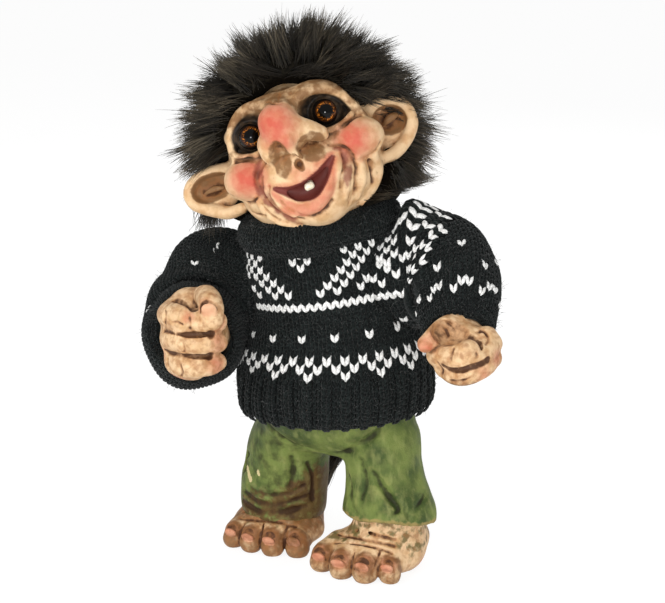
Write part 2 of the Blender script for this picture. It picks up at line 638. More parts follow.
# Where the skin is stained dark red beside the mouth
STAINS = [
    [(-18.5, 1.5, 2.2), (-21.2, -5.0, 3.4), (-20.8, -12.0, 3.4), (-17.4, -19.4, 2.8), (-13.4, -26.4, 2.2),
     (-8.4, -32.0, 1.2)],
    [(20.5, -2.0, 1.0), (24.0, -7.0, 2.4), (23.4, -14.0, 2.2), (20.4, -20.4, 1.2)],
]
FACE_PINK = [
    ((-2.5, -52, 18.0), 3.0, 18.0, 1.0), ((-1.0, -54, 10), 2.0, 11.0, 0.85),
    ((-26, -34, -2.5), 3.0, 16.0, 1.0), ((30, -34, -0.5), 2.0, 16.0, 1.0), ((12, -42, -9), 2.0, 9.0, 0.6),
    ((-12, -38, -24), 2.0, 7.0, 0.65), ((2, -42, -9), 3.0, 10.0, 0.45), ((22, -35, -7), 2.0, 7.0, 0.55),
]


def add_skull(clay):
    """Skull, jaw, chin, brow, cheeks, and the neck down into the collar."""
    clay.add(egg((0, 4, 4), (40.5, 40.5, 40.5)))
    clay.add(egg((0, -13, -13), (36, 26, 23)), 8)
    clay.add(egg((1, -22, -11), (29, 21, 20)), 6)
    clay.add(egg((3.5, -28, -25.5), (14, 11.5, 11)), 6)
    clay.add(rope(BROW_ROLL), 7)
    clay.add(egg((-27.5, -24.5, -2.5), (13.5, 13.0, 11.5)), 3)
    clay.add(egg((30.5, -24.5, -0.5), (14.0, 12.5, 11.0)), 3)
    low, high = to_head([NECK + (1.0, 0, -6.0), NECK + (-2.0, 0, 12.0)])
    clay.add(rope([(*low, NECK_RADIUS), (*high, NECK_RADIUS)]), 5)


def add_eye_rims(clay):
    """Deep sockets with seats for the glass eyes; returns their arches and lower lids."""
    for x, y, z in EYES.values():
        clay.cut(egg((x, y - 8.5, z), (12.5, 12.0, 11.0)), 3)
    rims = [rope(arch) for arch in EYE_ARCHES]
    for arch in rims:
        clay.add(arch, 2)
    for side, sign in SIDES.items():
        x, y, z = EYES[side]
        clay.add(egg((x, y + 1.6, z), (8.2, 7.4, 8.0)), 1.5)
        lid = rope([(x - 7 * sign, y - 4.0, z - 7.4, 1.1), (x, y - 4.2, z - 9.4, 1.7),
                    (x + 7 * sign, y - 2.2, z - 8.4, 1.8), (x + 12 * sign, y + 0.8, z - 5.0, 1.3)])
        clay.add(lid, 2.0)
        rims.append(lid)
    return rims


def add_nose(clay):
    """An upturned nose with wide wings over hollow undersides; returns the groove below it."""
    clay.add(rope([(1.5, -33, 25, 7.0), (0.0, -40, 22.5, 8.2), (-1.2, -46.5, 18.6, 9.8)]), 3)
    clay.add(egg((0.0, -43, 11.5), (11.5, 12.0, 9.5)), 4)
    clay.add(egg((-10.4, -40, 8.0), (5.6, 9.5, 8.0)), 3)
    clay.add(rope([(5, -46, 13.5, 5.4), (11, -44, 10.6, 5.4), (16.2, -40, 7.0, 4.2)]), 3)
    clay.add(egg((2.5, -33.5, -4.5), (17, 11, 8.5)), 4)
    for nostril in NOSTRILS:
        clay.cut(nostril, 1.2)
    clay.add(rope([(1.6, -53.0, 8.6, 2.8), (2.0, -49.5, 3.4, 2.4), (4.2, -46.5, -1.0, 1.6)]), 1.5)
    philtrum = rope(clay.on_face(PHILTRUM, -0.3))
    clay.cut(philtrum, 0.8)
    return philtrum


def add_mouth(clay):
    """A grinning mouth, hollow behind the tooth; returns its lips, its opening and its hollow."""
    lips = [rope(clay.on_face(UPPER_LIP, 1.0)), rope(clay.on_face(LOWER_LIP, 0.2))]
    shallow = clay.on_face(MOUTH_LINE, -1.0)
    for lip in lips:
        clay.add(lip, 1.6)
    opening, hollow = rope(shallow), rope([(x, y + 5.0, z, r) for x, y, z, r in shallow])
    clay.cut(opening, 0.8)
    clay.cut(hollow, 1.2)
    return lips, opening, hollow


def add_ears(clay):
    """Ears that stand out sideways, each a thick rim round a hollow."""
    for side in SIDES:
        middle = np.mean(EAR_RIMS[side], axis=0)[:3]
        clay.add(egg(middle + (0, 5.5, 0), (14, 4.6, 11)), 3)
        clay.add(rope(EAR_RIMS[side]), 2)
        clay.cut(EAR_HOLLOWS[side], 1.6)
        clay.add(rope(EAR_RIDGES[side]), 1.0)


def socket_dark(points, fine, broad):
    """Black paint round the eyes, which leaves out the ridges."""
    layers = []
    for middle in EYES.values():
        away = np.linalg.norm((points - middle) / SOCKET_SPREAD, axis=1)
        shade = 1 - smooth_step(away, 9.5, 14.5)
        layers.append(shade * smooth_step(broad + 0.6 * fine, -0.22, 0.02))
        layers.append(1 - smooth_step(away, 8.4, 9.6))
    return strongest(layers)


def make_head():
    clay = Clay((-74, -62, -41), (66, 47, 47), 0.72)
    add_skull(clay)
    rims = add_eye_rims(clay)
    philtrum = add_nose(clay)
    lips, opening, hollow = add_mouth(clay)
    for roll in ROLLS:
        clay.add(rope(clay.on_face(roll, 0.8)), 1.6)
    clay.carve(GROOVES, -0.2, 1.5)
    stains = [rope(clay.on_face(stain)) for stain in STAINS]
    add_ears(clay)
    clay.roughen(9, 0.35, 1)
    clay.roughen(2.6, 0.11, 2)
    points, faces = clay.skin()
    fine, broad = clay.hollows(points, 1.5), clay.hollows(points, 3.6)
    earth = [0.82 * near(form, points, -0.3, 1.9) for form in NOSTRILS + NOSE_UNDERSIDES]
    earth += [near(form, points, 0.4, 1.6) for form in EAR_HOLLOWS.values()]
    earth += [0.52 * near(form, points, 0.4, 2.4) for form in rims]
    earth += [0.8 * near(philtrum, points, 0.1, 0.9), 0.74 * near(BROW, points, -2.0, 3.0)]
    blush = [0.66 * near(lip, points, 0.0, 1.6) for lip in lips]
    marks = {
        "wash": hollow_wash(fine, broad, 2.3, 1.3),
        "earth": strongest(earth),
        "blush": strongest([pink_spots(points, FACE_PINK), *blush]),
        "dark": socket_dark(points, fine, broad),
        "maroon": strongest([0.78 * near(form, points, -0.8, 2.2) for form in stains]),
        "maw": strongest([near(opening, points, 0.25, 0.75), near(hollow, points, 0.4, 1.2)]),
    }
    piece("head_skin", from_head(points), faces, SKIN, "head", "skin", marks, ["head"])


def make_tooth():
    clay = Clay((-3, -46, -24), (9, -30, -6), 0.3)
    for points, blend in TOOTH_ROPES:
        clay.add(rope(points), blend)
    clay.roughen(2, 0.12, 3)
    points, faces = clay.skin()
    piece("ivory_tooth", from_head(points), faces, TOOTH, "head", "tooth", replaces=["tooth"])


def make_eye(side, middle):
    """A glass eye: a ball with a slightly proud front, marked by the angle from its gaze."""
    across = unit(np.cross(GAZE, (0, 0, 1)))
    up = np.cross(across, GAZE)
    tilt = np.linspace(0, math.pi, EYE_RINGS + 1)[1:-1]
    turn = np.linspace(0, 2 * math.pi, EYE_COLUMNS, endpoint=False)
    t, a = (grid[..., None] for grid in np.meshgrid(tilt, turn, indexing="ij"))
    swell = EYE_RADIUS + EYE_BULGE * np.exp(-(t / BULGE_ANGLE) ** 2)
    ball = np.cos(t) * swell * GAZE + np.sin(t) * swell * (np.cos(a) * across + np.sin(a) * up)
    points = np.vstack([ball.reshape(-1, 3), [GAZE * (EYE_RADIUS + EYE_BULGE)], [-GAZE * EYE_RADIUS]])
    ring = np.concatenate([np.repeat(tilt / (math.pi / 2), EYE_COLUMNS), [0, 2]])
    piece(f"{side}_glass_eye", from_head(points + middle), tube_faces(EYE_RINGS - 1, EYE_COLUMNS), EYE,
          "head", "eye", {"ring": ring}, [f"{side}_eye"])


make_head()
make_tooth()
for side, middle in EYES.items():
    make_eye(side, middle)


# Strands of fur: thin three-sided tapering tubes

def strand_mesh(routes, radii):
    """Points and faces of many strands: routes is strands x steps x 3, radii is strands x steps."""
    count, steps, _ = routes.shape
    along = unit(np.gradient(routes, axis=1))
    helper = np.where(np.abs(along[..., 2:]) < 0.9, (0.0, 0.0, 1.0), (1.0, 0.0, 0.0))
    across = unit(np.cross(along, helper))
    up = np.cross(along, across)
    corners = []
    for k in range(3):
        angle = 2 * math.pi * k / 3
        offset = math.cos(angle) * across + math.sin(angle) * up
        corners.append(routes + radii[..., None] * offset)
    points = np.stack(corners, 2).reshape(count, steps * 3, 3)
    i, k = np.meshgrid(np.arange(steps - 1), np.arange(3), indexing="ij")
    a, b = i * 3 + k, i * 3 + (k + 1) % 3
    quads = np.stack([a, a + 3, b + 3, b], -1).reshape(-1, 4)
    faces = (quads[None] + (np.arange(count) * steps * 3)[:, None, None]).reshape(-1, 4)
    return points.reshape(-1, 3), faces


def tapered(rng, radii, count, steps, taper, power):
    """Radii drawn for strands, which lose a share of them towards the tip."""
    return rng.uniform(*radii, count)[:, None] * (1 - taper * np.linspace(0, 1, steps)[None] ** power)


def fur_piece(name, routes, radii, tones, body, replaces=()):
    points, faces = strand_mesh(routes, radii)
    count, steps, _ = routes.shape
    along = np.tile(np.repeat(np.linspace(0, 1, steps), 3), count)
    marks = {"along": along, "tone": np.repeat(tones, steps * 3)}
    piece(name, points, faces, FUR, body, "fur", marks, replaces)


# Hair

HAIR_MIDDLE = np.array([0.0, 8.0, 6.0])
HAIRS, HAIR_TUFTS, HAIR_STEPS, HAIR_PIECES = 25200, 620, 6, 4
HAIR_RADII, HAIR_TAPER, TAPER_POWER = (0.14, 0.3), 0.85, 1.5
# Hair grows where the pelt is this far from the middle and hardly faces inward
ROOTS_FROM, ROOTS_FACING = 40, -0.2
ROOT_DEPTH, ROOT_STRAY = 2.0, 0.5
# How far from the middle the tufts reach, the least a hair reaches past its root, and what is added to that
TUFT_REACH, LEAST_HAIR, EXTRA_HAIR = (59, 67), 7, 4
HAIR_SHARES = (0.6, 1.08)
# The hair sweeps away from this place on the brow, and stands higher on the crown than beside it
PARTING = np.array([6.0, -34.0, 40.0])
CROWN, CROWN_RISE, CROWN_WIDTH = np.array([26.0, 2.0, 58.0]), 2.0, 11
DIP, DIP_FALL, DIP_WIDTH = np.array([2.0, -4.0, 60.0]), 4.0, 13
# How tufts and hairs lean, gather and bend
TUFT_SWEEP, TUFT_STRAY = 0.25, 0.28
HAIR_LIFT, HAIR_STRAY, HAIR_GATHER = 0.25, 0.1, 0.45
SWEEP_BEND, HAIR_BEND, TUFT_BEND = 5.5, 1.3, 1.5
# Tufts differ in tone by the first number, and hairs within them by the second
TONES, TONE_STRAY = 0.8, 0.26
# The hair lies on the collar this far up the neck, give or take, and is shorter at the back of the head
HAIR_FLOOR, FLOOR_STRAY = 13.0, 3
BACK_TRIM = 5.0
# Places kept clear of hair: the face and both ears
CLEAR = [
    egg((-2, -48, -2), (38, 22, 34)), egg((23, -40, 17), (16, 13, 12)), egg((30, -28, -16), (13, 16, 14)),
    egg((-52, -15, -3), (20, 13, 16)), egg((46, -15, 1), (18, 13, 16)),
]
# The small tuft that hangs out from behind the right ear: its roots and its way, and how both stray
EAR_TUFT_HAIRS, EAR_TUFT_RADII, EAR_TUFT_BEND = 300, (0.14, 0.28), 1.2
EAR_TUFT_ROOT, EAR_TUFT_SPREAD = (-56.0, 3.0, -8.0), (3.4, 1.4, 1.6)
EAR_TUFT_WAY, EAR_TUFT_STRAY = (-5.0, 1.0, -10.5), (2.4, 1.2, 2.2)


def pelt_form():
    """The thick dark pelt: all round the head but the face, the ears and the neck."""
    clay = Clay((-66, -52, -44), (66, 70, 70), 1.1)
    clay.add(egg(HAIR_MIDDLE, (55, 54, 55)))
    clay.cut(egg((-1, -38, -2), (45, 46, 43)), 4)
    clay.cut(egg((31, -25, -18), (13, 25, 16)), 4)
    for sign in SIDES.values():
        clay.cut(egg((50 * sign, -12, -1), (28, 19, 19)), 4)
    clay.cut(egg((0, 0, -66), (80, 80, 36)), 4)
    clay.cut(egg((-40, -14, -30), (22, 34, 17)), 4)
    clay.roughen(9, 2.4, 6)
    return clay


def tuft_growth(rng, tufts):
    """The way in which each tuft is swept, the way it leans, and how far from the middle it reaches."""
    radial = unit(tufts - HAIR_MIDDLE)
    sweep = tufts - PARTING
    sweep = unit(sweep - (sweep * radial).sum(1, keepdims=True) * radial)
    lean = unit(radial + TUFT_SWEEP * sweep + rng.normal(0, TUFT_STRAY, tufts.shape))
    crown = CROWN_RISE * np.exp(-(np.linalg.norm(tufts - CROWN, axis=1) / CROWN_WIDTH) ** 2)
    dip = DIP_FALL * np.exp(-(np.linalg.norm(tufts - DIP, axis=1) / DIP_WIDTH) ** 2)
    trim = BACK_TRIM * smooth_step(radial[:, 1], 0.3, 0.9)
    return sweep, lean, rng.uniform(*TUFT_REACH, HAIR_TUFTS) + crown - dip - trim


def make_hair():
    rng = np.random.default_rng(5)
    points, faces = pelt_form().skin()
    piece("hair_pelt", from_head(points), faces, PELT, "head", "fur")
    middles, normals = face_places(points, faces)
    normals = unit(normals)
    from_middle = np.linalg.norm(middles - HAIR_MIDDLE, axis=1)
    outward = ((middles - HAIR_MIDDLE) * normals).sum(1) / from_middle
    grows = np.flatnonzero((from_middle > ROOTS_FROM) & (outward > ROOTS_FACING))
    # Every hair leans with the nearest tuft
    tufts = middles[rng.choice(grows, HAIR_TUFTS, replace=False)]
    chosen = rng.choice(grows, HAIRS)
    root = middles[chosen] + rng.normal(0, ROOT_STRAY, (HAIRS, 3))
    owner = ((tufts**2).sum(1) - 2 * root @ tufts.T).argmin(1)
    sweep, lean, reach = tuft_growth(rng, tufts)
    away = np.linalg.norm(root - HAIR_MIDDLE, axis=1)
    long = (np.maximum(reach[owner] - away, LEAST_HAIR) + EXTRA_HAIR) * rng.uniform(*HAIR_SHARES, HAIRS)
    way = lean[owner] + HAIR_LIFT * normals[chosen] + rng.normal(0, HAIR_STRAY, (HAIRS, 3))
    gather = HAIR_GATHER * (tufts[owner] - root)
    bend = SWEEP_BEND * sweep[owner] + rng.normal(0, HAIR_BEND, (HAIRS, 3))
    bend = bend + rng.normal(0, TUFT_BEND, tufts.shape)[owner]
    t = np.linspace(0, 1, HAIR_STEPS)[None, :, None]
    routes = root[:, None] - ROOT_DEPTH * way[:, None] + way[:, None] * long[:, None, None] * t
    routes += gather[:, None] * t + bend[:, None] * t * t
    height = (from_head(routes) - NECK) @ NECK_AXIS - HAIR_FLOOR - rng.uniform(0, FLOOR_STRAY, (HAIRS, 1))
    routes -= np.minimum(height, 0)[..., None] * (NECK_AXIS @ HEAD_SPIN)
    blocked = np.min([form[0](*routes.reshape(-1, 3).T) for form in CLEAR], axis=0) < 0
    free = ~blocked.reshape(HAIRS, HAIR_STEPS).any(1) & (height[:, 0] > 0)
    radii = tapered(rng, HAIR_RADII, HAIRS, HAIR_STEPS, HAIR_TAPER, TAPER_POWER)
    tones = rng.uniform(0, TONES, HAIR_TUFTS)[owner] + rng.normal(0, TONE_STRAY, HAIRS)
    tones = np.clip(tones, 0, 1)
    for number, part in enumerate(np.array_split(np.flatnonzero(free), HAIR_PIECES)):
        fur_piece(f"hair_{number + 1}", from_head(routes[part]), radii[part], tones[part], "head",
                  ["hair"] if number == 0 else [])


def make_ear_tuft():
    rng = np.random.default_rng(6)
    shape = (EAR_TUFT_HAIRS, 3)
    root = EAR_TUFT_ROOT + rng.normal(0, EAR_TUFT_SPREAD, shape)
    way = EAR_TUFT_WAY + rng.normal(0, EAR_TUFT_STRAY, shape)
    bend = rng.normal(0, EAR_TUFT_BEND, shape)
    t = np.linspace(0, 1, HAIR_STEPS)[None, :, None]
    routes = root[:, None] + way[:, None] * t + bend[:, None] * t * t
    radii = tapered(rng, EAR_TUFT_RADII, EAR_TUFT_HAIRS, HAIR_STEPS, HAIR_TAPER, TAPER_POWER)
    fur_piece("ear_tuft", from_head(routes), radii, rng.uniform(0, TONES, EAR_TUFT_HAIRS), "head")


make_hair()
make_ear_tuft()


# Tail with its tuft

TAIL_ROUTE = [
    (-2, 38, 73, 5.5), (-4, 42.5, 66, 5.2), (-8, 45, 58, 4.6), (-13, 46.2, 51, 4.2), (-16, 46.5, 45, 4.0),
]
TUFT_ROUTE = [(-16, 46.5, 47), (-19, 46.6, 40), (-23.5, 46, 30), (-27, 44, 14)]
TUFT_CORE = [(-16, 46.5, 46, 4.2), (-19.6, 46.5, 38, 4.6), (-23.5, 46, 30, 4.2), (-26, 44.6, 20, 2.2)]
TUFT_HAIRS, TUFT_STEPS = 1500, 7
TUFT_RADII, TUFT_TAPER = (0.2, 0.34), 0.8
# Where along the tuft its hairs begin, how much of it they span, and how wide they bulge
TUFT_BEGIN, TUFT_SPAN, TUFT_BULGE = (0, 0.45), (0.4, 0.62), (1.2, 5.6)
TUFT_INNER = 2.2


def make_tail():
    rng = np.random.default_rng(7)
    clay = Clay((-24, 30, 36), (8, 56, 82), 0.7)
    clay.add(rope(TAIL_ROUTE))
    clay.roughen(4, 0.25, 8)
    points, faces = clay.skin()
    piece("tail_skin", points, faces, TAIL_SKIN, "tail", "tail_skin", replaces=["tail"])
    spine = curve(TUFT_ROUTE, 12)
    begin = rng.uniform(*TUFT_BEGIN, TUFT_HAIRS)
    end = begin + rng.uniform(*TUFT_SPAN, TUFT_HAIRS)
    side = unit(rng.normal(0, 1, (TUFT_HAIRS, 3)))
    wide = rng.uniform(*TUFT_BULGE, TUFT_HAIRS)
    routes = np.zeros((TUFT_HAIRS, TUFT_STEPS, 3))
    for k, t in enumerate(np.linspace(0, 1, TUFT_STEPS)):
        at = np.clip(begin + (end - begin) * t, 0, 1) * (len(spine) - 1)
        middle = np.stack([np.interp(at, np.arange(len(spine)), spine[:, i]) for i in range(3)], 1)
        narrowing = np.clip(1.35 - begin - 0.4 * t, 0.3, 1)
        bulge = TUFT_INNER + wide * math.sin(math.pi * (0.05 + 0.75 * t)) * narrowing
        routes[:, k] = middle + side * bulge[:, None]
    radii = tapered(rng, TUFT_RADII, TUFT_HAIRS, TUFT_STEPS, TUFT_TAPER, 1)
    fur_piece("tail_fur", routes, radii, rng.uniform(0, 1, TUFT_HAIRS), "tail", ["tail_tuft"])
    core = Clay((-36, 32, 8), (-4, 58, 54), 0.9)
    core.add(rope(TUFT_CORE))
    core.roughen(5, 0.8, 9)
    points, faces = core.skin()
    piece("tail_pelt", points, faces, PELT, "tail", "fur")


make_tail()


# Trousers

# Each leg as level ovals: height, middle x and y, half width and half depth
LEG_OVALS = {
    "right": [(14, -33, 6, 22, 21), (20, -33.5, 7, 24, 22.5), (30, -33.5, 8, 24.5, 23),
              (44, -31.5, 7.5, 23, 22), (58, -28.5, 6, 22.5, 22.5), (72, -24, 4, 21.5, 23.5),
              (90, -20, 2, 20, 24)],
    "left": [(20, 33, -6, 25, 23.5), (31, 33, -6, 25, 23), (42, 32, -5.5, 22.5, 21.5),
             (56, 29.5, -4, 20, 20.5), (72, 26, -2, 21, 22.5), (90, 20, 0, 20, 24)],
}
HIPS = [(-9, 1, 90, 33.5), (9, 1, 90, 33.5)]
TROUSER_TOP = 103.0
# Folds of the belly and the legs, and scuffs: x, z and radius
FOLDS = [
    [(-40, 84, 1.0), (-30, 74, 1.5), (-19, 66, 1.7), (-4, 61.5, 1.7), (12, 63.5, 1.6), (24, 71, 1.5),
     (36, 82, 1.0)],
    [(31, 57, 0.8), (35, 52, 1.7), (40, 45.5, 2.2), (45, 38.5, 2.0), (43, 36, 1.0)],
    [(50, 60, 0.7), (52, 50, 1.8), (54, 43, 1.4), (53, 38, 0.8)],
    [(13, 54, 0.9), (16, 46, 1.6), (17, 38, 1.6), (22, 34, 0.9)],
    [(24, 62, 0.7), (27, 52, 1.2), (25, 42, 1.0)],
    [(48, 38, 0.7), (50, 34, 1.0)],
    [(-50, 29, 0.9), (-39, 26.0, 1.4), (-26, 27.0, 1.4), (-13, 31, 1.0)],
    [(-52, 22.5, 0.8), (-40, 21.0, 1.3), (-28, 22.0, 1.2), (-14, 24.5, 0.9)],
    [(-46, 33, 0.6), (-34, 31.4, 1.0), (-22, 33, 0.8), (-15, 37, 0.6)],
    [(-20, 54, 0.6), (-19, 46, 1.2), (-21, 38, 1.0)],
    [(-13, 50, 0.8), (-12, 40, 1.4), (-12, 28, 1.2)],
    [(-52, 58, 0.8), (-50, 50, 1.3), (-52, 40, 1.0)],
]
SCUFFS = [
    [(-49.0, 43.0, 0.5), (-47.5, 40.0, 0.8), (-45.0, 37.4, 0.9)],
    [(-40.3, 43.4, 0.6), (-40.0, 42.0, 0.7)],
]


def left_hem(x, y):
    """Height of the left leg's hem, which rises towards the front and waves a little."""
    return 27.0 - 0.17 * (y + 6) + 0.8 * np.sin(x / 5)


def make_trousers():
    clay = Clay((-66, -42, 8), (66, 42, 106), 0.85)
    clay.add(rope(HIPS))
    for ovals in LEG_OVALS.values():
        clay.add(stack(ovals), 5)
    clay.carve(FOLDS, -0.2, 2.5)
    scuffs = [rope(clay.on_face(scuff, 0.2)) for scuff in SCUFFS]
    clay.roughen(15, 1.2, 10)
    clay.roughen(5, 0.45, 11)
    x, y, z = (axis.astype(np.float32) for axis in clay.axes)
    x, y, z = x[:, None, None], y[None, :, None], z[None, None, :]
    # The right leg runs down into the foot
    hem = np.where(x > 0, left_hem(x, y), 15.5 + 0.05 * y)
    clay.d = np.maximum(clay.d, np.maximum(z - TROUSER_TOP, hem - z))
    points, faces = clay.skin()
    fine, broad = clay.hollows(points, 2.0), clay.hollows(points, 4.5)
    x, y, z = points.T
    right = x < 0
    shin = 1 - smooth_step(z - 0.35 * np.clip(x + 30, -20, 20), 26, 44)
    inner_shin = smooth_step(x, -24, -12) * (1 - smooth_step(z, 40, 58))
    marks = {
        "wash": hollow_wash(fine, broad, 2.0, 1.5) + 0.34 * (1 - smooth_step(x, -24, 2)),
        "ridge": np.clip(-1.6 * fine - 1.2 * broad, 0, 1),
        "earth": np.clip(right * (0.8 * shin + 0.55 * inner_shin), 0, 1),
        "rim": (x > 0) * (1 - smooth_step(z - left_hem(x, y), 0.8, 3.6)),
        "scuff": strongest([near(scuff, points, 0.0, 1.0) for scuff in scuffs]),
    }
    piece("trousers", points, faces, TROUSERS, "body", "trousers", marks, ["hips", "right_leg", "left_leg"])


make_trousers()


# Feet

# Each toe is a middle x and y and a radius, the innermost first
TOES = {
    "right": [(-15.4, -16.0, 6.9), (-28.4, -19.6, 6.7), (-41.0, -19.2, 6.5), (-52.6, -16.8, 6.0)],
    "left": [(4.4, -29.0, 6.4), (17.2, -33.0, 6.9), (30.8, -33.6, 6.9), (43.0, -30.0, 6.4)],
}
FOOT_MIDDLES = {"right": (-33.5, 2.5), "left": (27.0, -11.0)}
TOE_LOW, TOE_HIGH = 4.8, 8.6
SOLE = 0.3
FOOT_CREASE_HEIGHTS = (19.0, 22.0, 16.5)
# How much brown wash lies all over each foot, and how much brown on its toes and on its top
FOOT_GRIME = {"right": 0.28, "left": 0.16}
TOE_EARTH = {"right": 0.84, "left": 0.66}
TOP_EARTH = {"right": 0.8, "left": 0.12}
TOP_MOSS = {"right": 0.45, "left": 0.5}
# How far behind the toes the top's paint starts, and where it is full
TOP_EDGE = {"right": (-2, 5), "left": (2, 10)}


def add_toes(clay, side):
    """Toes with gaps between them; returns their nails and the grooves round these."""
    foot_x = FOOT_MIDDLES[side][0]
    for x, y, r in TOES[side]:
        back = (x + 0.18 * (foot_x - x), y + 13, TOE_HIGH + 1.5, r + 0.6)
        clay.add(rope([back, (x, y + 5, TOE_HIGH - 0.4, r)]), 2.5)
    for x, y, r in TOES[side]:
        clay.add(rope([(x, y, TOE_LOW, r), (x, y + 1.0, TOE_HIGH, 0.92 * r)]), 1.0)
    for (x, y, _), (x2, y2, _) in zip(TOES[side], TOES[side][1:]):
        x, y = (x + x2) / 2, (y + y2) / 2
        clay.cut(rope([(x, y - 7.0, 1.0, 1.0), (x, y - 4.5, 8.0, 0.9), (x, y + 3.0, 15.0, 0.7)]), 1.2)
    nails, cuticles = [], []
    for x, y, r in TOES[side]:
        front = y - r * 0.86
        nail = egg((x, front, TOE_HIGH + 1.2), (r * 0.55, 1.3, r * 0.44), spin("X", 26))
        low, wide, high = TOE_HIGH - 0.4, TOE_HIGH + 2.8, TOE_HIGH + 4.9
        cuticle = rope([(x - r * 0.7, front + 0.6, low, 0.5), (x - r * 0.62, front + 0.8, wide, 0.8),
                        (x, front + 1.8, high, 1.0), (x + r * 0.62, front + 0.8, wide, 0.8),
                        (x + r * 0.7, front + 0.6, low, 0.5)])
        clay.cut(cuticle, 0.6)
        clay.add(nail, 0.4)
        nails.append(nail)
        cuticles.append(cuticle)
    return nails, cuticles


def foot_marks(side, clay, points, nails, cuticles):
    fine, broad = clay.hollows(points, 1.4), clay.hollows(points, 3.4)
    x, y, z = points.T
    nail = strongest([near(form, points, 0.1, 0.5) for form in nails])
    arc = strongest([near(form, points, 0.3, 1.2) for form in cuticles])
    pinks, fronts = [], []
    for toe_x, toe_y, r in TOES[side]:
        away = (points - (toe_x, toe_y - r * 0.7, TOE_HIGH + 3.0)) / (1, 1, 0.85)
        pinks.append(1 - smooth_step(np.linalg.norm(away, axis=1), r * 0.5, r * 1.35))
        away = points - (toe_x, toe_y - 0.5 * r, TOE_LOW + 2.0)
        fronts.append(1 - smooth_step(np.linalg.norm(away, axis=1), r * 1.2, r * 1.8))
    toe_x, toe_y, _ = np.array(sorted(TOES[side])).T
    top = smooth_step(z, 7, 15) * smooth_step(y - np.interp(x, toe_x, toe_y), *TOP_EDGE[side])
    foot_x, foot_y = FOOT_MIDDLES[side]
    # The left heel is pink along the ground
    heel = (SIDES[side] > 0) * (x > foot_x + 18) * (1 - smooth_step(z, 4, 9)) * (y > foot_y)
    wash = FOOT_GRIME[side] + hollow_wash(fine, broad, 2.2, 1.4)
    return {
        "wash": np.maximum(wash, 0.85 * arc) * (1 - nail),
        "blush": np.maximum(0.66 * strongest(pinks), 0.6 * heel),
        "nail": 0.2 * nail,
        "moss": TOP_MOSS[side] * top,
        "earth": np.maximum(TOP_EARTH[side] * top, TOE_EARTH[side] * (1 - 0.5 * nail) * strongest(fronts)),
    }


def make_foot(side, sign):
    foot_x, foot_y = FOOT_MIDDLES[side]
    ankle_x, ankle_y = LEG_OVALS[side][1][1:3]
    clay = Clay((foot_x - 36, foot_y - 42, -2), (foot_x + 36, foot_y + 38, 36), 0.55)
    clay.add(egg((ankle_x, ankle_y + 11, 11.5), (18, 17, 12.5)))
    clay.add(egg((foot_x, foot_y - 3, 9), (26, 20, 11)), 6)
    clay.add(rope([(ankle_x, ankle_y, 14, 20), (ankle_x, ankle_y, 32, 17.5)]), 7)
    nails, cuticles = add_toes(clay, side)
    for z in FOOT_CREASE_HEIGHTS:
        crease = [(foot_x - 17, z - 2, 0.5), (foot_x - 6, z, 0.9), (foot_x + 6, z + 0.6, 0.9),
                  (foot_x + 16, z - 1.4, 0.5)]
        clay.carve([crease], -0.1, 1.2)
    clay.roughen(6, 0.5, 12 + sign)
    clay.roughen(2.4, 0.14, 14 + sign)
    clay.d = np.maximum(clay.d, SOLE - clay.axes[2][None, None, :].astype(np.float32))
    points, faces = clay.skin()
    marks = foot_marks(side, clay, points, nails, cuticles)
    piece(f"{side}_bare_foot", points, faces, SKIN, "body", "skin", marks, [f"{side}_foot"])


for side, sign in SIDES.items():
    make_foot(side, sign)


# Hands

# How much brown wash lies all over the hands
HAND_GRIME = 0.28
# Ropes of clay: x, y, z and radius
RIGHT_PALM = [(-57, -56, 143, 12.5), (-55, -59, 130, 14.5), (-57, -57, 119, 12.0)]
RIGHT_FINGERS = [
    [(-66.0, -55, 140.0, 6.2), (-65.0, -63, 142.4, 6.8), (-58.0, -70.5, 144.4, 6.8),
     (-49.0, -73.5, 144.4, 6.6), (-40.6, -72.5, 143.8, 6.0), (-36.4, -67, 143.0, 5.0)],
    [(-65.0, -57, 129.0, 6.0), (-63.0, -65, 131.0, 6.6), (-56.0, -72, 132.8, 6.8),
     (-47.0, -74.6, 133.0, 6.5), (-39.4, -72.5, 132.8, 5.8), (-36.0, -67, 132.4, 4.8)],
    [(-62.5, -56, 117.4, 6.0), (-61.0, -64, 118.6, 6.6), (-55.0, -70.5, 119.6, 6.8),
     (-47.0, -73.0, 120.6, 6.5), (-40.4, -71, 121.2, 5.6), (-37.0, -66, 121.2, 4.6)],
]
RIGHT_THUMB = [
    (-55, -48, 146, 6.6), (-48.5, -56, 151.4, 6.4), (-42, -65, 153.6, 6.2), (-37.8, -71.5, 151.6, 6.2),
    (-36.4, -73.6, 146.0, 5.9),
]
RIGHT_HOLLOW = rope([(-60, -66, 150.6, 1.5), (-53, -69.5, 150.4, 2.6), (-46.0, -73.5, 149.4, 2.2)])
THUMB_NAIL = egg((-35.6, -77.9, 151.8), (4.2, 1.2, 4.0), spin("Z", 18) @ spin("X", 12))
THUMB_CUTICLE = rope([
    (-40.6, -76.2, 149.4, 0.6), (-40.2, -76.2, 153.4, 0.9), (-36.8, -76.6, 156.4, 1.1),
    (-32.4, -75.8, 154.6, 0.9), (-31.0, -75.8, 150.4, 0.6),
])
LEFT_ROLLS = [
    [(73, -46, 132.0, 5.8), (79, -50.0, 133.0, 6.4), (89, -52.0, 134.8, 7.0), (96.0, -45.5, 136.0, 6.2),
     (97, -37, 138, 6.0)],
    [(77, -46, 126.0, 5.4), (84, -50.5, 125.4, 5.8), (90, -51.0, 126.6, 6.0), (96.5, -45.5, 129.0, 5.6),
     (98.0, -37, 131, 5.0)],
]
LEFT_THUMB = [
    (79, -34, 145.6, 5.8), (75.5, -42, 145.2, 5.6), (72.4, -49, 142.4, 5.0), (69.4, -53.6, 139.2, 4.2),
]
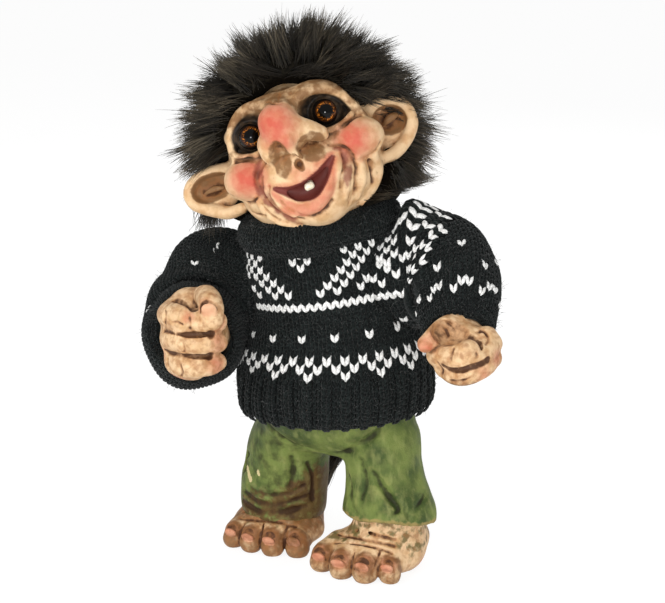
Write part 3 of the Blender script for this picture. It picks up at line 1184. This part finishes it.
LEFT_HOLLOW = egg((81.0, -49.5, 146.4), (10.0, 7.5, 7.4), spin("Y", -8))
LEFT_SLIT = rope([
    (87, -50, 146.0, 3.6), (91.5, -47.5, 145.4, 2.8), (95.6, -50.5, 141.4, 1.7), (96.5, -52, 139.4, 0.9),
])
# Gaps between the fingers and creases: x, z and radius
RIGHT_GAPS = [
    [(-53, 137.6, 0.5), (-47, 138.0, 1.0), (-42, 138.4, 1.4), (-37, 138.6, 1.8), (-32, 138.4, 2.2)],
    [(-52, 126.6, 0.5), (-47, 126.8, 1.0), (-42, 127.0, 1.4), (-38, 127.0, 1.8), (-33, 126.6, 2.2)],
]
RIGHT_CREASES = [
    [(-62, 150.5, 0.5), (-61, 146, 0.8), (-62, 141, 0.7)],
    [(-56, 143.6, 0.6), (-53, 144.4, 0.9), (-50, 143.4, 0.6)],
    [(-64, 136.5, 0.7), (-59, 137.6, 1.0), (-55, 137.4, 0.6)],
    [(-65, 126, 0.6), (-60, 125.6, 0.9), (-54, 126.4, 0.6)],
    [(-49, 133.6, 0.5), (-48.6, 130.6, 0.8), (-49.6, 128.6, 0.5)],
    [(-52, 122.5, 0.6), (-51, 118, 0.9), (-53, 114.6, 0.6)],
    [(-62, 122, 0.5), (-60.6, 117, 0.8), (-61, 113, 0.5)],
    [(-46, 147.5, 0.5), (-45.4, 144, 0.7), (-46, 141.4, 0.5)],
]
LEFT_GAP = [
    (79.0, 130.4, 0.5), (83.0, 129.0, 0.8), (88.0, 129.4, 1.2), (94.0, 131.4, 1.5), (100.0, 133.8, 1.5),
]
LEFT_CREASES = [
    [(84.4, 139.6, 0.8), (83.8, 136.8, 1.0), (84.0, 134.2, 0.6)], [(96.6, 138.6, 0.8), (97.0, 136.4, 0.6)],
    [(90.0, 147.4, 0.7), (92.6, 145.6, 1.0), (98.0, 143.2, 0.8), (98.4, 141.0, 0.5)],
    [(83.0, 123.0, 0.7), (88.0, 123.4, 1.0), (93.0, 125.6, 0.6)],
    [(75.0, 149.4, 0.6), (77.0, 147.4, 0.8), (79.6, 145.6, 0.5)],
    [(73.6, 147.0, 0.6), (76.0, 144.6, 0.9), (77.6, 142.0, 0.5)],
    [(76, 131, 0.6), (78, 127, 0.9), (77, 124, 0.6)],
]
RIGHT_PINK = [
    ((-36, -71, 143.5), 1.0, 8.0, 0.7), ((-36, -71, 133.0), 1.0, 8.0, 0.7),
    ((-36, -71, 121.5), 1.0, 8.0, 0.7), ((-66, -62, 124), 2.0, 11.0, 0.7),
    ((-62, -63, 113), 2.0, 9.0, 0.6), ((-38, -76, 152), 2.0, 7.0, 0.4), ((-47, -80, 148), 1.0, 6.0, 0.45),
]
LEFT_PINK = [
    ((70, -56, 139), 1.0, 8.0, 0.75), ((73, -53, 142), 1.0, 7.0, 0.5), ((100.5, -42, 132.5), 1.0, 8.0, 0.7),
    ((97, -50, 127), 1.0, 7.0, 0.5),
]


def hand_skin(clay, seed):
    """Roughens and skins a hand, and finds the brown wash that lies over it."""
    clay.roughen(5, 0.4, seed)
    clay.roughen(2.0, 0.14, seed + 1)
    points, faces = clay.skin()
    fine, broad = clay.hollows(points, 1.4), clay.hollows(points, 3.2)
    return points, faces, HAND_GRIME + hollow_wash(fine, broad, 2.3, 1.4)


def make_right_hand():
    clay = Clay((-82, -86, 98), (-26, -34, 170), 0.5)
    clay.add(rope(RIGHT_PALM))
    clay.add(rope([(-58, -43, 131, 17), (-56, -54, 131, 16)]), 3)
    for finger in RIGHT_FINGERS:
        clay.add(rope(finger), 3.2)
    clay.add(rope(RIGHT_THUMB), 1.2)
    clay.cut(RIGHT_HOLLOW, 1.5)
    gaps = [rope(clay.on_face(line, 0.3)) for line in RIGHT_GAPS]
    for gap in gaps:
        clay.cut(gap, 1.0)
    clay.carve(RIGHT_CREASES, -0.1, 1.0)
    clay.cut(THUMB_CUTICLE, 0.6)
    clay.add(THUMB_NAIL, 0.4)
    points, faces, wash = hand_skin(clay, 20)
    nail = near(THUMB_NAIL, points, 0.1, 0.5)
    layers = [wash] + [near(gap, points, 0.2, 1.2) for gap in gaps]
    layers += [0.85 * near(RIGHT_HOLLOW, points, 0.3, 1.6), 0.8 * near(THUMB_CUTICLE, points, 0.0, 0.8)]
    marks = {
        "wash": strongest(layers) * (1 - nail),
        "blush": pink_spots(points, RIGHT_PINK),
        "nail": 0.45 * nail,
    }
    piece("right_fist", points, faces, SKIN, "right_arm", "skin", marks, ["right_hand"])


def make_left_hand():
    clay = Clay((56, -68, 108), (114, -18, 162), 0.5)
    clay.add(egg((84.5, -40, 133.5), (15, 12.5, 12)))
    clay.add(rope([(79, -28, 138, 12.5), (83, -38, 134, 14)]), 3)
    clay.add(egg((94.5, -37, 140), (6.2, 8, 6.6)), 3)
    for roll in LEFT_ROLLS:
        clay.add(rope(roll), 1.6)
    clay.add(egg((91.0, -52.5, 138.0), (6.4, 7.0, 5.4)), 2.0)
    clay.add(rope(LEFT_THUMB), 1.5)
    clay.cut(LEFT_HOLLOW, 1.2)
    clay.cut(LEFT_SLIT, 1.0)
    gap = rope(clay.on_face(LEFT_GAP, 0.1))
    clay.cut(gap, 1.0)
    clay.carve(LEFT_CREASES, -0.1, 1.0)
    points, faces, wash = hand_skin(clay, 22)
    layers = [wash, near(gap, points, 0.2, 1.2)]
    layers += [0.6 * near(LEFT_HOLLOW, points, 0.3, 1.6), 0.9 * near(LEFT_SLIT, points, 0.2, 1.0)]
    marks = {
        "wash": strongest(layers),
        "blush": pink_spots(points, LEFT_PINK),
        "earth": 0.75 * (1 - smooth_step(points[:, 2], 119, 128)),
    }
    piece("left_fist", points, faces, SKIN, "left_arm", "skin", marks, ["left_hand"])


make_right_hand()
make_left_hand()


# Sweater: each part is a surface of u, from 0 to 1 round it, and s, millimetres up it

STITCH_WIDTH, STITCH_ROW = 4.64, 3.75
BODY_COLUMNS, COLLAR_COLUMNS = 64, 58
SLEEVE_COLUMNS = {"right": 38, "left": 34}
# Rows of the ribbed hem, then low and high rows of the body, and their heights
HEM_ROWS, HEM_ROW, HEM_START, HEM_END = 8, 3.33, 0.8, 1.0
LOW_ROWS, LOW_ROW, HIGH_ROW = 5, 3.95, 3.3
# How thick a stitch's legs are and how far it stands out, by kind of knit
RIB_RIDGE, RIB_HOLLOW, BODY_KNIT = (1.15, 0.7), (0.9, -0.5), (1.15, 0.0)
COLLAR_KNIT, SLEEVE_KNIT, YOKE_KNIT = (1.05, 0.0), (1.1, 0.0), (1.15, 0.1)
LEG_RINGS, LEG_SIDES = 6, 6
# How far in the ground layer of cloth lies, and how far before the first row it starts
GROUND_INSET, EDGE = 0.6, 0.8
# How the ground layer is turned in at the hem and at the cuffs: height and share of the width
HEM_TURN = [(0.4, 0.985), (2.0, 0.95), (8.0, 0.9)]
CUFF_TURN = [(1.0, 0.92), (4.0, 0.78), (9.0, 0.66)]
# Surfaces run on straight for this far at both ends
LEAD = 10.0
# Steps along u and s from which the way out of a surface is worked out
U_STEP, S_STEP = 1e-3, 0.2
# Ovals of the body: height, middle x, half width, half depth and degrees by which the rows lean
SWEATER_OVALS = [
    (82, 0, 47.5, 40.5, 3.5), (87, 0, 51, 43.5, 3.6), (97, 0, 52, 44.3, 4), (106, 0, 51.2, 43.5, 4.6),
    (112, 0, 49.4, 41.8, 5), (126, -0.5, 46.4, 38.8, 7), (141, -2, 44.5, 37, 9),
    (156, -4.5, 43.6, 36.4, 10), (172.6, -7.5, 40, 35.5, 10),
]
COLLAR_LEFT = np.array([NECK_AXIS[2], 0.0, -NECK_AXIS[0]])
COLLAR_RADIUS, COLLAR_ROLL = 33.0, 9.0
COLLAR_START, COLLAR_TURN = math.radians(-95), math.radians(300)
# Sleeve routes from the cuff to the shoulder: x, y, z, half width and half height
SLEEVE_ROUTES = {
    "right": [(-57, -51, 131, 19, 21), (-58.5, -47, 130.5, 22, 24.5), (-64.5, -35, 126.5, 27, 30),
              (-69, -17, 132.5, 26.8, 29), (-68, -0.5, 143.5, 26.6, 27.4), (-52, 0, 142, 24.4, 25),
              (-37, 0, 142, 23.4, 23.4)],
    "left": [(78.5, -29, 139, 14.5, 14.5), (77, -25, 142, 16.5, 17), (71, -12, 153, 22, 22.5),
             (63.5, -2.5, 159.5, 25, 28.2), (54, 1.5, 161, 24.6, 29.8), (41, 2, 158, 24, 26.5),
             (29, 2, 155, 23.9, 23.9)],
}
# How far the top of each shoulder puffs up, how far from the armhole and over what length
SHOULDER_PUFFS = {"right": 1.5, "left": 8.0}
PUFF_PLACE, PUFF_HALF = 21.0, 4.0
# Holes in the body for the sleeves: y, z and radius
ARMHOLES = {"right": (0.0, 142.0, 23.4), "left": (2.0, 155.0, 23.9)}
# How far from the middle the holes begin, and how much wider they are in the cloth and in the stitches
ARMHOLE_X, CLOTH_MARGIN, STITCH_MARGIN = 20, -3.0, 2.2
# The body's column at its left side, its x, and the width of the columns over the shoulder beside it
SIDE_COLUMN, SIDE_X, SHOULDER_COLUMN = 10.0, 37.0, 4.4
# The row of the white line, and the column from which the shoulder's lattice starts
LINE_ROW, LATTICE_COLUMN = 10, 12
# The left shoulder is knitted like the body: its start, the sleeve's millimetres round, rows, columns
YOKE_LOW, YOKE_ROUND = 0.3, 162.0
YOKE_ROWS, YOKE_COLUMNS = 27, 10
# Rows of the right sleeve with dots, each with its first dot's column, and the columns from dot to dot
RIGHT_DOTS, DOT_GAP = {9: 3, 23: 1, 35: 5, 37: 4, 41: 8}, 9
# Loose fibres: how many, how far they stand out and stray, how thick they are and how much white is in them
BODY_FUZZ, COLLAR_FUZZ, SLEEVE_FUZZ = 5200, 1800, 2200
FUZZ_SEED = 30
FUZZ_OUT, FUZZ_STRAY, FUZZ_CURL = (0.5, 1.6), 0.9, 0.7
FUZZ_STEPS, FUZZ_RADIUS, FUZZ_WHITE = 4, 0.055, 0.12


def measured(table, gaps):
    """A table with a row added at each end, the length up to each row, and the length without those two."""
    lengths = np.concatenate([[0], np.cumsum(gaps)])
    before = table[0] - (table[1] - table[0]) * LEAD / gaps[0]
    after = table[-1] + (table[-1] - table[-2]) * LEAD / gaps[-1]
    whole = lengths[-1]
    return np.vstack([before, table, after]), np.concatenate([[-LEAD], lengths, [whole + LEAD]]), whole


body_levels = curve(SWEATER_OVALS, 10)
body_gaps = np.hypot(np.diff(body_levels[:, 0]), np.diff(body_levels[:, 3]))
SWEATER_LEVELS, SWEATER_HEIGHTS, SWEATER_LENGTH = measured(body_levels, body_gaps)
first_low = HEM_ROWS * HEM_ROW + HEM_END
first_high = first_low + LOW_ROWS * LOW_ROW
BODY_ROWS = np.concatenate([
    np.arange(LOW_ROWS) * LOW_ROW + first_low, np.arange(first_high, SWEATER_LENGTH, HIGH_ROW)])


def body_surface(u, s):
    z, cx, a, b, lean = (np.interp(s, SWEATER_HEIGHTS, SWEATER_LEVELS[:, i]) for i in range(5))
    turn = 2 * math.pi * u
    fold = 0.7 * np.sin(3 * turn + s / 9) * smooth_step(s, 20, 40) + 0.5 * np.sin(5 * turn - s / 6)
    x = (a + fold) * np.sin(turn)
    lean = np.radians(lean)
    return np.stack([cx + x * np.cos(lean), -(b + fold) * np.cos(turn), z + x * np.sin(lean)], -1)


def collar_surface(u, s):
    turn = 2 * math.pi * u
    roll = COLLAR_START + s / COLLAR_ROLL
    swell = COLLAR_ROLL + 0.5 * np.sin(4 * turn + 1) + 0.4 * np.sin(7 * turn)
    out = np.stack([np.zeros_like(turn), -np.cos(turn), np.zeros_like(turn)], -1)
    out = out + np.sin(turn)[..., None] * COLLAR_LEFT
    across, up = COLLAR_RADIUS + swell * np.cos(roll), swell * np.sin(roll)
    return NECK + across[..., None] * out + up[..., None] * NECK_AXIS


class Sleeve:
    """A sleeve that follows its route, with folds and a puffed shoulder."""

    def __init__(self, side):
        route = curve(SLEEVE_ROUTES[side], 12)
        gaps = np.linalg.norm(np.diff(route[:, :3], axis=0), axis=1)
        self.route, self.lengths, self.length = measured(route, gaps)
        along = unit(np.gradient(self.route[:, :3], self.lengths, axis=0))
        self.first = unit(np.cross(along, (0, 0, 1.0)))
        self.second = np.cross(along, self.first)
        self.puff = SHOULDER_PUFFS[side]

    def surface(self, u, s):
        def at(table):
            return np.stack([np.interp(s, self.lengths, table[:, i]) for i in range(table.shape[1])], -1)

        route, first, second = at(self.route), at(self.first), at(self.second)
        turn = 2 * math.pi * u
        to_end = self.length - s
        fold = 0.9 * np.sin(2 * turn + s / 5) + 0.6 * np.sin(5 * turn - s / 7)
        fold = smooth_step(to_end, 3, 25) * fold
        wide = (route[..., 3] + fold) * np.cos(turn)
        puff = self.puff * np.exp(-((to_end - PUFF_PLACE) / PUFF_HALF) ** 2)
        puff = puff * np.clip(-np.sin(turn), 0, 1) ** 3
        tall = (route[..., 4] + fold + puff) * np.sin(turn)
        return route[..., :3] + wide[..., None] * first + tall[..., None] * second

    def yoke(self, u, s):
        """The shoulder on its own: u runs out from the armhole, s up the front and over the top."""
        return self.surface(YOKE_LOW + s / YOKE_ROUND, self.length - u * YOKE_COLUMNS * SHOULDER_COLUMN)


def with_normals(surface, u, s):
    """Points of a surface and the ways out of it there."""
    across = surface(u + U_STEP, s) - surface(u - U_STEP, s)
    up = surface(u, s + S_STEP) - surface(u, s - S_STEP)
    return surface(u, s), unit(np.cross(across, up))


def stitch_template(width):
    """Both legs of one stitch: share of a stitch across, of a row up, and millimetres out."""
    legs = []
    for sign in (-1, 1):
        t = np.linspace(0, 1, LEG_RINGS)
        across = sign * (0.08 + 0.33 * t**0.85)
        up = -0.2 + 1.5 * t
        out = 0.95 * np.sin(math.pi * (0.18 + 0.74 * t)) - 0.1
        half = width * np.sin(math.pi * (0.09 + 0.82 * t)) ** 0.7
        way = np.array([sign * 0.33 * STITCH_WIDTH, 1.5 * STITCH_ROW])
        side = np.array([way[1], -way[0]]) / np.linalg.norm(way)
        turn = np.linspace(0, 2 * math.pi, LEG_SIDES, endpoint=False)
        wide = half[:, None] * np.cos(turn)
        ring = np.stack([
            across[:, None] + wide * side[0] / STITCH_WIDTH,
            up[:, None] + wide * side[1] / STITCH_ROW,
            out[:, None] + 0.65 * half[:, None] * np.sin(turn),
        ], -1).reshape(-1, 3)
        ends = np.array([[across[0], up[0] - 0.05, out[0]], [across[-1], up[-1] + 0.05, out[-1]]])
        legs.append(np.vstack([ring, ends]))
    return legs


def knit(surface, columns, cells, width, out):
    """Stitches at cells of column, height in millimetres, whiteness and row height."""
    cells = np.array(cells, float)
    points, faces, whites, twists = [], [], [], []
    first = 0
    per_leg = LEG_RINGS * LEG_SIDES + 2
    leg_faces = tube_faces(LEG_RINGS, LEG_SIDES)
    along = np.repeat(np.linspace(0, 3, LEG_RINGS), LEG_SIDES)
    around = np.tile(np.arange(LEG_SIDES) / LEG_SIDES, LEG_RINGS)
    twist = np.concatenate([along + around, [0, 3]])
    for leg in stitch_template(width):
        u = (cells[:, :1] + 0.5 + leg[None, :, 0]) / columns
        s = cells[:, 1:2] + leg[None, :, 1] * cells[:, 3:]
        at, normal = with_normals(surface, u, s)
        points.append((at + normal * (leg[None, :, 2:] + out)).reshape(-1, 3))
        for number in range(len(cells)):
            faces.extend([first + number * per_leg + i for i in face] for face in leg_faces)
        first += len(cells) * per_leg
        whites.append(np.repeat(cells[:, 2], per_leg))
        twists.append(np.tile(twist, len(cells)))
    return np.vstack(points), faces, {"white": np.concatenate(whites), "twist": np.concatenate(twists)}


def ground(surface, columns, heights, turned_in, keep=None):
    """The knit's ground layer as a grid of faces, less those whose middles keep leaves out.
    Its first edge is turned in by rings of height and share of the width."""
    u = np.arange(columns) / columns
    at, normal = with_normals(surface, *np.meshgrid(u, heights))
    rings = [at - GROUND_INSET * normal]
    for height, share in turned_in:
        ring = surface(u, np.full(columns, height))
        middle = ring.mean(0)
        rings.insert(0, (middle + share * (ring - middle))[None])
    points = np.concatenate(rings).reshape(-1, 3)
    faces = tube_faces(len(points) // columns, columns, caps=False)
    if keep is not None:
        faces = faces[keep(points[faces].mean(1))]
    return points, faces


def pattern(row, column):
    """1 where the body's pattern has a white stitch."""
    i = abs(column % 16 - 8)
    r = row - LINE_ROW
    bands = [row == 0 and column % 4 == 0, row == 1 and column % 2 == 1, row == 2 and column % 2 == 0,
             row == 5 and column % 4 == 3, r == 0]
    chevrons = [2 <= r <= 8 and i == 8 - r, 2 <= r <= 6 and i == 6 - r,
                r == 2 and i == 1, r == 3 and i == 0]
    diamonds = [r in (6, 8) and i == 8, r == 7 and i == 7]
    lattice = [r >= 9 and i == r - 8, r >= 8 and i == r - 6]
    return float(any(bands + chevrons + diamonds + lattice))


def beside_body(place):
    """Row and column of the body's knit level with a place on its left shoulder."""
    x, _, z = place
    lean = np.interp(z, SWEATER_LEVELS[:, 0], SWEATER_LEVELS[:, 4])
    height = np.interp(z - x * math.sin(math.radians(lean)), SWEATER_LEVELS[:, 0], SWEATER_HEIGHTS)
    return np.searchsorted(BODY_ROWS, height) - 1, int(SIDE_COLUMN + (x - SIDE_X) / SHOULDER_COLUMN)


def on_yoke(places):
    """True for places on the left sleeve within the shoulder's knit."""
    return places[..., 0] < 55 + 0.26 * (places[..., 2] - 148)


def yoke_cells(sleeve):
    """The body's rows carried over the left shoulder: its line, its chevron and a lattice of diamonds."""
    def place(column, row):
        return sleeve.yoke(np.array((column + 0.5) / YOKE_COLUMNS), np.array((row + 0.5) * HIGH_ROW))

    line = next(row for row in range(YOKE_ROWS) if beside_body(place(1, row))[0] >= LINE_ROW)
    cells = []
    for row in range(YOKE_ROWS):
        for column in range(YOKE_COLUMNS):
            at = place(column, row)
            if not on_yoke(at):
                continue
            body_row, body_column = row - line + LINE_ROW, beside_body(at)[1]
            lattice = body_row > LINE_ROW + 2 and 0 in ((column + row) % 4, (column - row) % 4)
            beyond = float(lattice or body_row == LINE_ROW)
            white = pattern(body_row, body_column) if body_column < LATTICE_COLUMN else beyond
            cells.append((column, row * HIGH_ROW, white, HIGH_ROW))
    return cells


def sleeve_pattern(side, row, column):
    """Dots all over, and a broken band above the left cuff."""
    if side == "right":
        return float(RIGHT_DOTS.get(row) == column % DOT_GAP)
    band = row == 4 and column % 4 == 0 or row == 5 and column % 4 in (1, 2)
    return float(band or row in (8, 11) and (column + row) % 6 == 0)


def row_heights(surface, length, row):
    """Heights of rows that lie a row apart where the surface is most stretched."""
    s = np.linspace(0, length, 160)
    u = np.linspace(0, 1, 24, endpoint=False)
    rings = surface(*np.meshgrid(u, s))
    stretch = np.percentile(np.linalg.norm(np.diff(rings, axis=0), axis=2), 85, axis=1)
    outer = np.concatenate([[0], np.cumsum(stretch)])
    return np.interp(np.arange(0.3 * row, outer[-1], row), outer, s)


def outside_armholes(points, margin=CLOTH_MARGIN):
    """True for points of the body that no sleeve starts from, a margin wider."""
    x, y, z = points.T
    free = np.ones(len(points), bool)
    for side, (hole_y, hole_z, radius) in ARMHOLES.items():
        free &= ~((x * SIDES[side] > ARMHOLE_X) & (np.hypot(y - hole_y, z - hole_z) < radius + margin))
    return free


def fuzz(name, surface, length, count, body, seed, keep=None):
    """Loose wool fibres standing off the knit."""
    rng = np.random.default_rng(seed)
    u, s = rng.uniform(0, 1, count), rng.uniform(0, length, count)
    at, normal = with_normals(surface, u, s)
    if keep is not None:
        free = keep(at)
        at, normal, count = at[free], normal[free], free.sum()
    stray = rng.normal(0, FUZZ_STRAY, (count, 3))
    curl = rng.normal(0, FUZZ_CURL, (count, 3))
    t = np.linspace(0, 1, FUZZ_STEPS)[None, :, None]
    tall = rng.uniform(*FUZZ_OUT, (count, 1, 1))
    routes = at[:, None] + normal[:, None] * (0.5 + tall * t) + stray[:, None] * t * tall
    routes += curl[:, None] * t * t
    points, faces = strand_mesh(routes, np.full((count, FUZZ_STEPS), FUZZ_RADIUS))
    piece(name, points, faces, WOOL, body, "wool", {"white": np.full(len(points), FUZZ_WHITE)})


def knit_part(name, body, surface, columns, length, parts, replaces, turned_in=(), keep=None):
    """One part of the sweater: a ground layer of cloth and parts of stitches, each as knit() takes them."""
    heights = np.linspace(-EDGE, length, int(length / 2))
    points, faces = ground(surface, columns * 2, heights, turned_in, keep)
    marks = {"white": np.zeros(len(points))}
    cloth = piece(f"{name}_cloth", points, faces, WOOL, body, "wool", marks, replaces)
    for number, part in enumerate(parts):
        stitches = knit(*part)
        made = piece(f"{name}_stitches_{number + 1}", *stitches[:2], WOOL, body, "wool", stitches[2])
    area = 0.5 * np.linalg.norm(face_places(points, faces)[1], axis=1).sum() * MM * MM


def make_body():
    rib = [(c, HEM_START + r * HEM_ROW, 0.0, HEM_ROW) for r in range(HEM_ROWS) for c in range(BODY_COLUMNS)]
    cells = [(c, h, pattern(r, c), LOW_ROW if r < LOW_ROWS else HIGH_ROW)
             for r, h in enumerate(BODY_ROWS) for c in range(BODY_COLUMNS)]
    columns, heights = np.array(cells)[:, :2].T
    free = outside_armholes(body_surface((columns + 0.5) / BODY_COLUMNS, heights), STITCH_MARGIN)
    parts = [
        (body_surface, BODY_COLUMNS, [cell for cell in rib if cell[0] % 2 == 0], *RIB_RIDGE),
        (body_surface, BODY_COLUMNS, [cell for cell in rib if cell[0] % 2], *RIB_HOLLOW),
        (body_surface, BODY_COLUMNS, [cell for cell, kept in zip(cells, free) if kept], *BODY_KNIT),
    ]
    knit_part("sweater", "body", body_surface, BODY_COLUMNS, SWEATER_LENGTH, parts,
              ["sweater_body", "sweater_hem"], HEM_TURN, outside_armholes)
    fuzz("sweater_fuzz", body_surface, SWEATER_LENGTH, BODY_FUZZ, "body", FUZZ_SEED, outside_armholes)


def make_collar():
    length = COLLAR_ROLL * COLLAR_TURN
    heights = np.arange(0.5, length - HEM_ROW, HEM_ROW)
    cells = [(c, h, 0.0, HEM_ROW) for h in heights for c in range(COLLAR_COLUMNS)]
    knit_part("collar", "body", collar_surface, COLLAR_COLUMNS, length,
              [(collar_surface, COLLAR_COLUMNS, cells, *COLLAR_KNIT)], ["sweater_collar"])
    fuzz("collar_fuzz", collar_surface, length * 0.75, COLLAR_FUZZ, "body", FUZZ_SEED + 1)


def make_sleeve(side, seed):
    sleeve = Sleeve(side)
    columns = SLEEVE_COLUMNS[side]
    heights = row_heights(sleeve.surface, sleeve.length, STITCH_ROW)
    pitches = np.append(np.diff(heights), sleeve.length - heights[-1])
    u, tall = np.meshgrid((np.arange(columns) + 0.5) / columns, heights + 0.5 * pitches)
    free = np.ones(u.shape, bool)
    if side == "left":
        yoke_high = YOKE_LOW + YOKE_ROWS * HIGH_ROW / YOKE_ROUND
        free = ~(on_yoke(sleeve.surface(u, tall)) & (u > YOKE_LOW) & (u < yoke_high))
    cells = [(c, heights[r], sleeve_pattern(side, r, c), pitches[r])
             for r in range(len(heights)) for c in range(columns) if free[r, c]]
    half = len(cells) // 2
    parts = [(sleeve.surface, columns, part, *SLEEVE_KNIT) for part in (cells[:half], cells[half:])]
    if side == "left":
        parts.append((sleeve.yoke, YOKE_COLUMNS, yoke_cells(sleeve), *YOKE_KNIT))
    knit_part(f"{side}_sleeve", f"{side}_arm", sleeve.surface, columns, sleeve.length,
              parts, [f"{side}_sleeve"], CUFF_TURN)
    fuzz(f"{side}_sleeve_fuzz", sleeve.surface, sleeve.length, SLEEVE_FUZZ, f"{side}_arm", seed)


make_body()
make_collar()
for number, side in enumerate(SIDES):
    make_sleeve(side, FUZZ_SEED + 2 + number)


# Pieces inside the figure keep the shape of the CAD

CASTING = plain_paint("casting", (32, 32, 32), (50, 48, 46), 4.0, Roughness=0.9)
DOWEL = plain_paint("dowel", (176, 128, 78), (216, 172, 116), 3.0, (0.2, 1, 1), Roughness=0.6)
WASHER = plain_paint("washer", (150, 152, 156), (196, 198, 202), 1.5, Roughness=0.3, Metallic=1.0)
WIRE = plain_paint("wire", (120, 118, 116), (176, 172, 168), 0.8, Roughness=0.35, Metallic=1.0)
INSIDE = {
    "arm": CASTING, "torso": CASTING, "peg": DOWEL, "tail_pin": DOWEL, "washer": WASHER, "wire": WIRE,
    "split_pin": WIRE,
}
for name, node in frame["nodes"].items():
    for ending, paint in INSIDE.items():
        if name.endswith(ending):
            node.data.materials.clear()
            node.data.materials.append(paint)


# Stage, light and camera

# Half the floor's width in metres, its paleness, and the strength and share of the glow that whitens it
FLOOR_REACH, FLOOR_PALE, FLOOR_GLOW, GLOW_SHARE = 6.0, 0.9, 1.1, 0.8
# The strength of the light from all round
SKY_LIGHT = 0.5
# Lamps: place, target, size in metres, power, and whether it shows in glossy surfaces
LAMPS = {
    "key": ((-450, -900, 750), (0, 0, 150), 0.8, 6.2, False),
    "fill": ((900, -600, 400), (0, 0, 150), 0.9, 2.6, False),
    "back": ((100, 900, 800), (0, 0, 200), 0.8, 5.0, False),
    "spark": ((300, -1000, 300), (0, 0, 200), 0.2, 3.6, True),
}
CAMERA_TARGET = (0.0, 0.0, 150.0)
CAMERA_AZIMUTH, CAMERA_ELEVATION, CAMERA_DISTANCE = 22.0, 15.0, 1000.0
LENS, SENSOR_WIDTH = 103.1, 36.0
# The picture's width and how far the view is shifted in it, in pixels
IMAGE_WIDTH, SHIFT_X, SHIFT_Y = 665, -2.5, -18.5


def look_at(place, target):
    return (Vector(target) - Vector(place)).to_track_quat("-Z", "Y").to_euler()


def place_in_frame(point):
    return (np.array(point, float) + SHIFT) * MM


def add_node(tree, kind, operation=None, **sockets):
    made = tree.nodes.new("ShaderNode" + kind)
    if operation:
        made.operation = operation
    for name, value in sockets.items():
        made.inputs[name].default_value = value
    return made


def area_light(name, place, target, size, power, mirrored):
    lamp = bpy.data.lights.new(name, "AREA")
    lamp.size = size
    lamp.energy = power
    made = bpy.data.objects.new(name, lamp)
    made.location = place_in_frame(place)
    made.rotation_euler = look_at(made.location, place_in_frame(target))
    made.visible_glossy = mirrored
    bpy.context.scene.collection.objects.link(made)


def make_stage():
    """A pale floor that looks white to the camera but keeps the shadow."""
    mesh = bpy.data.meshes.new("floor")
    corners = [(x * FLOOR_REACH, y * FLOOR_REACH, 0) for x, y in ((-1, -1), (1, -1), (1, 1), (-1, 1))]
    mesh.from_pydata(corners, [], [(0, 1, 2, 3)])
    floor = bpy.data.objects.new("floor", mesh)
    bpy.context.scene.collection.objects.link(floor)
    paint = bpy.data.materials.new("floor")
    tree = fresh_tree(paint)
    pale = add_node(tree, "BsdfDiffuse", Color=(FLOOR_PALE, FLOOR_PALE, FLOOR_PALE, 1))
    glow = add_node(tree, "Emission", Strength=FLOOR_GLOW)
    path = add_node(tree, "LightPath")
    seen = add_node(tree, "Math", "MAXIMUM")
    share = add_node(tree, "Math", "MULTIPLY")
    share.inputs[1].default_value = GLOW_SHARE
    both = add_node(tree, "MixShader")
    output = add_node(tree, "OutputMaterial")
    tree.links.new(path.outputs["Is Camera Ray"], seen.inputs[0])
    tree.links.new(path.outputs["Is Glossy Ray"], seen.inputs[1])
    tree.links.new(seen.outputs[0], share.inputs[0])
    for number, source in enumerate((share, pale, glow)):
        tree.links.new(source.outputs[0], both.inputs[number])
    tree.links.new(both.outputs[0], output.inputs[0])
    mesh.materials.append(paint)


def make_world():
    """Soft light from all round, white where the camera sees it."""
    world = bpy.data.worlds.new("studio")
    bpy.context.scene.world = world
    tree = fresh_tree(world)
    soft, white = (add_node(tree, "Background", Color=(1, 1, 1, 1), Strength=s) for s in (SKY_LIGHT, 1.0))
    path = add_node(tree, "LightPath")
    both = add_node(tree, "MixShader")
    output = add_node(tree, "OutputWorld")
    tree.links.new(path.outputs["Is Camera Ray"], both.inputs[0])
    tree.links.new(soft.outputs[0], both.inputs[1])
    tree.links.new(white.outputs[0], both.inputs[2])
    tree.links.new(both.outputs[0], output.inputs[0])


def make_camera():
    azimuth, elevation = math.radians(CAMERA_AZIMUTH), math.radians(CAMERA_ELEVATION)
    level = math.cos(elevation)
    away = np.array([math.sin(azimuth) * level, -math.cos(azimuth) * level, math.sin(elevation)])
    lens = bpy.data.cameras.new("camera")
    lens.sensor_fit = "HORIZONTAL"
    lens.sensor_width = SENSOR_WIDTH
    lens.lens = LENS
    lens.shift_x = SHIFT_X / IMAGE_WIDTH
    lens.shift_y = SHIFT_Y / IMAGE_WIDTH
    camera = bpy.data.objects.new("camera", lens)
    camera.location = place_in_frame(np.array(CAMERA_TARGET) + away * CAMERA_DISTANCE)
    camera.rotation_euler = look_at(camera.location, place_in_frame(CAMERA_TARGET))
    bpy.context.scene.collection.objects.link(camera)
    bpy.context.scene.camera = camera


make_stage()
make_world()
make_camera()
for name, lamp in LAMPS.items():
    area_light(name, *lamp)
bpy.context.scene.view_settings.view_transform = "Standard"
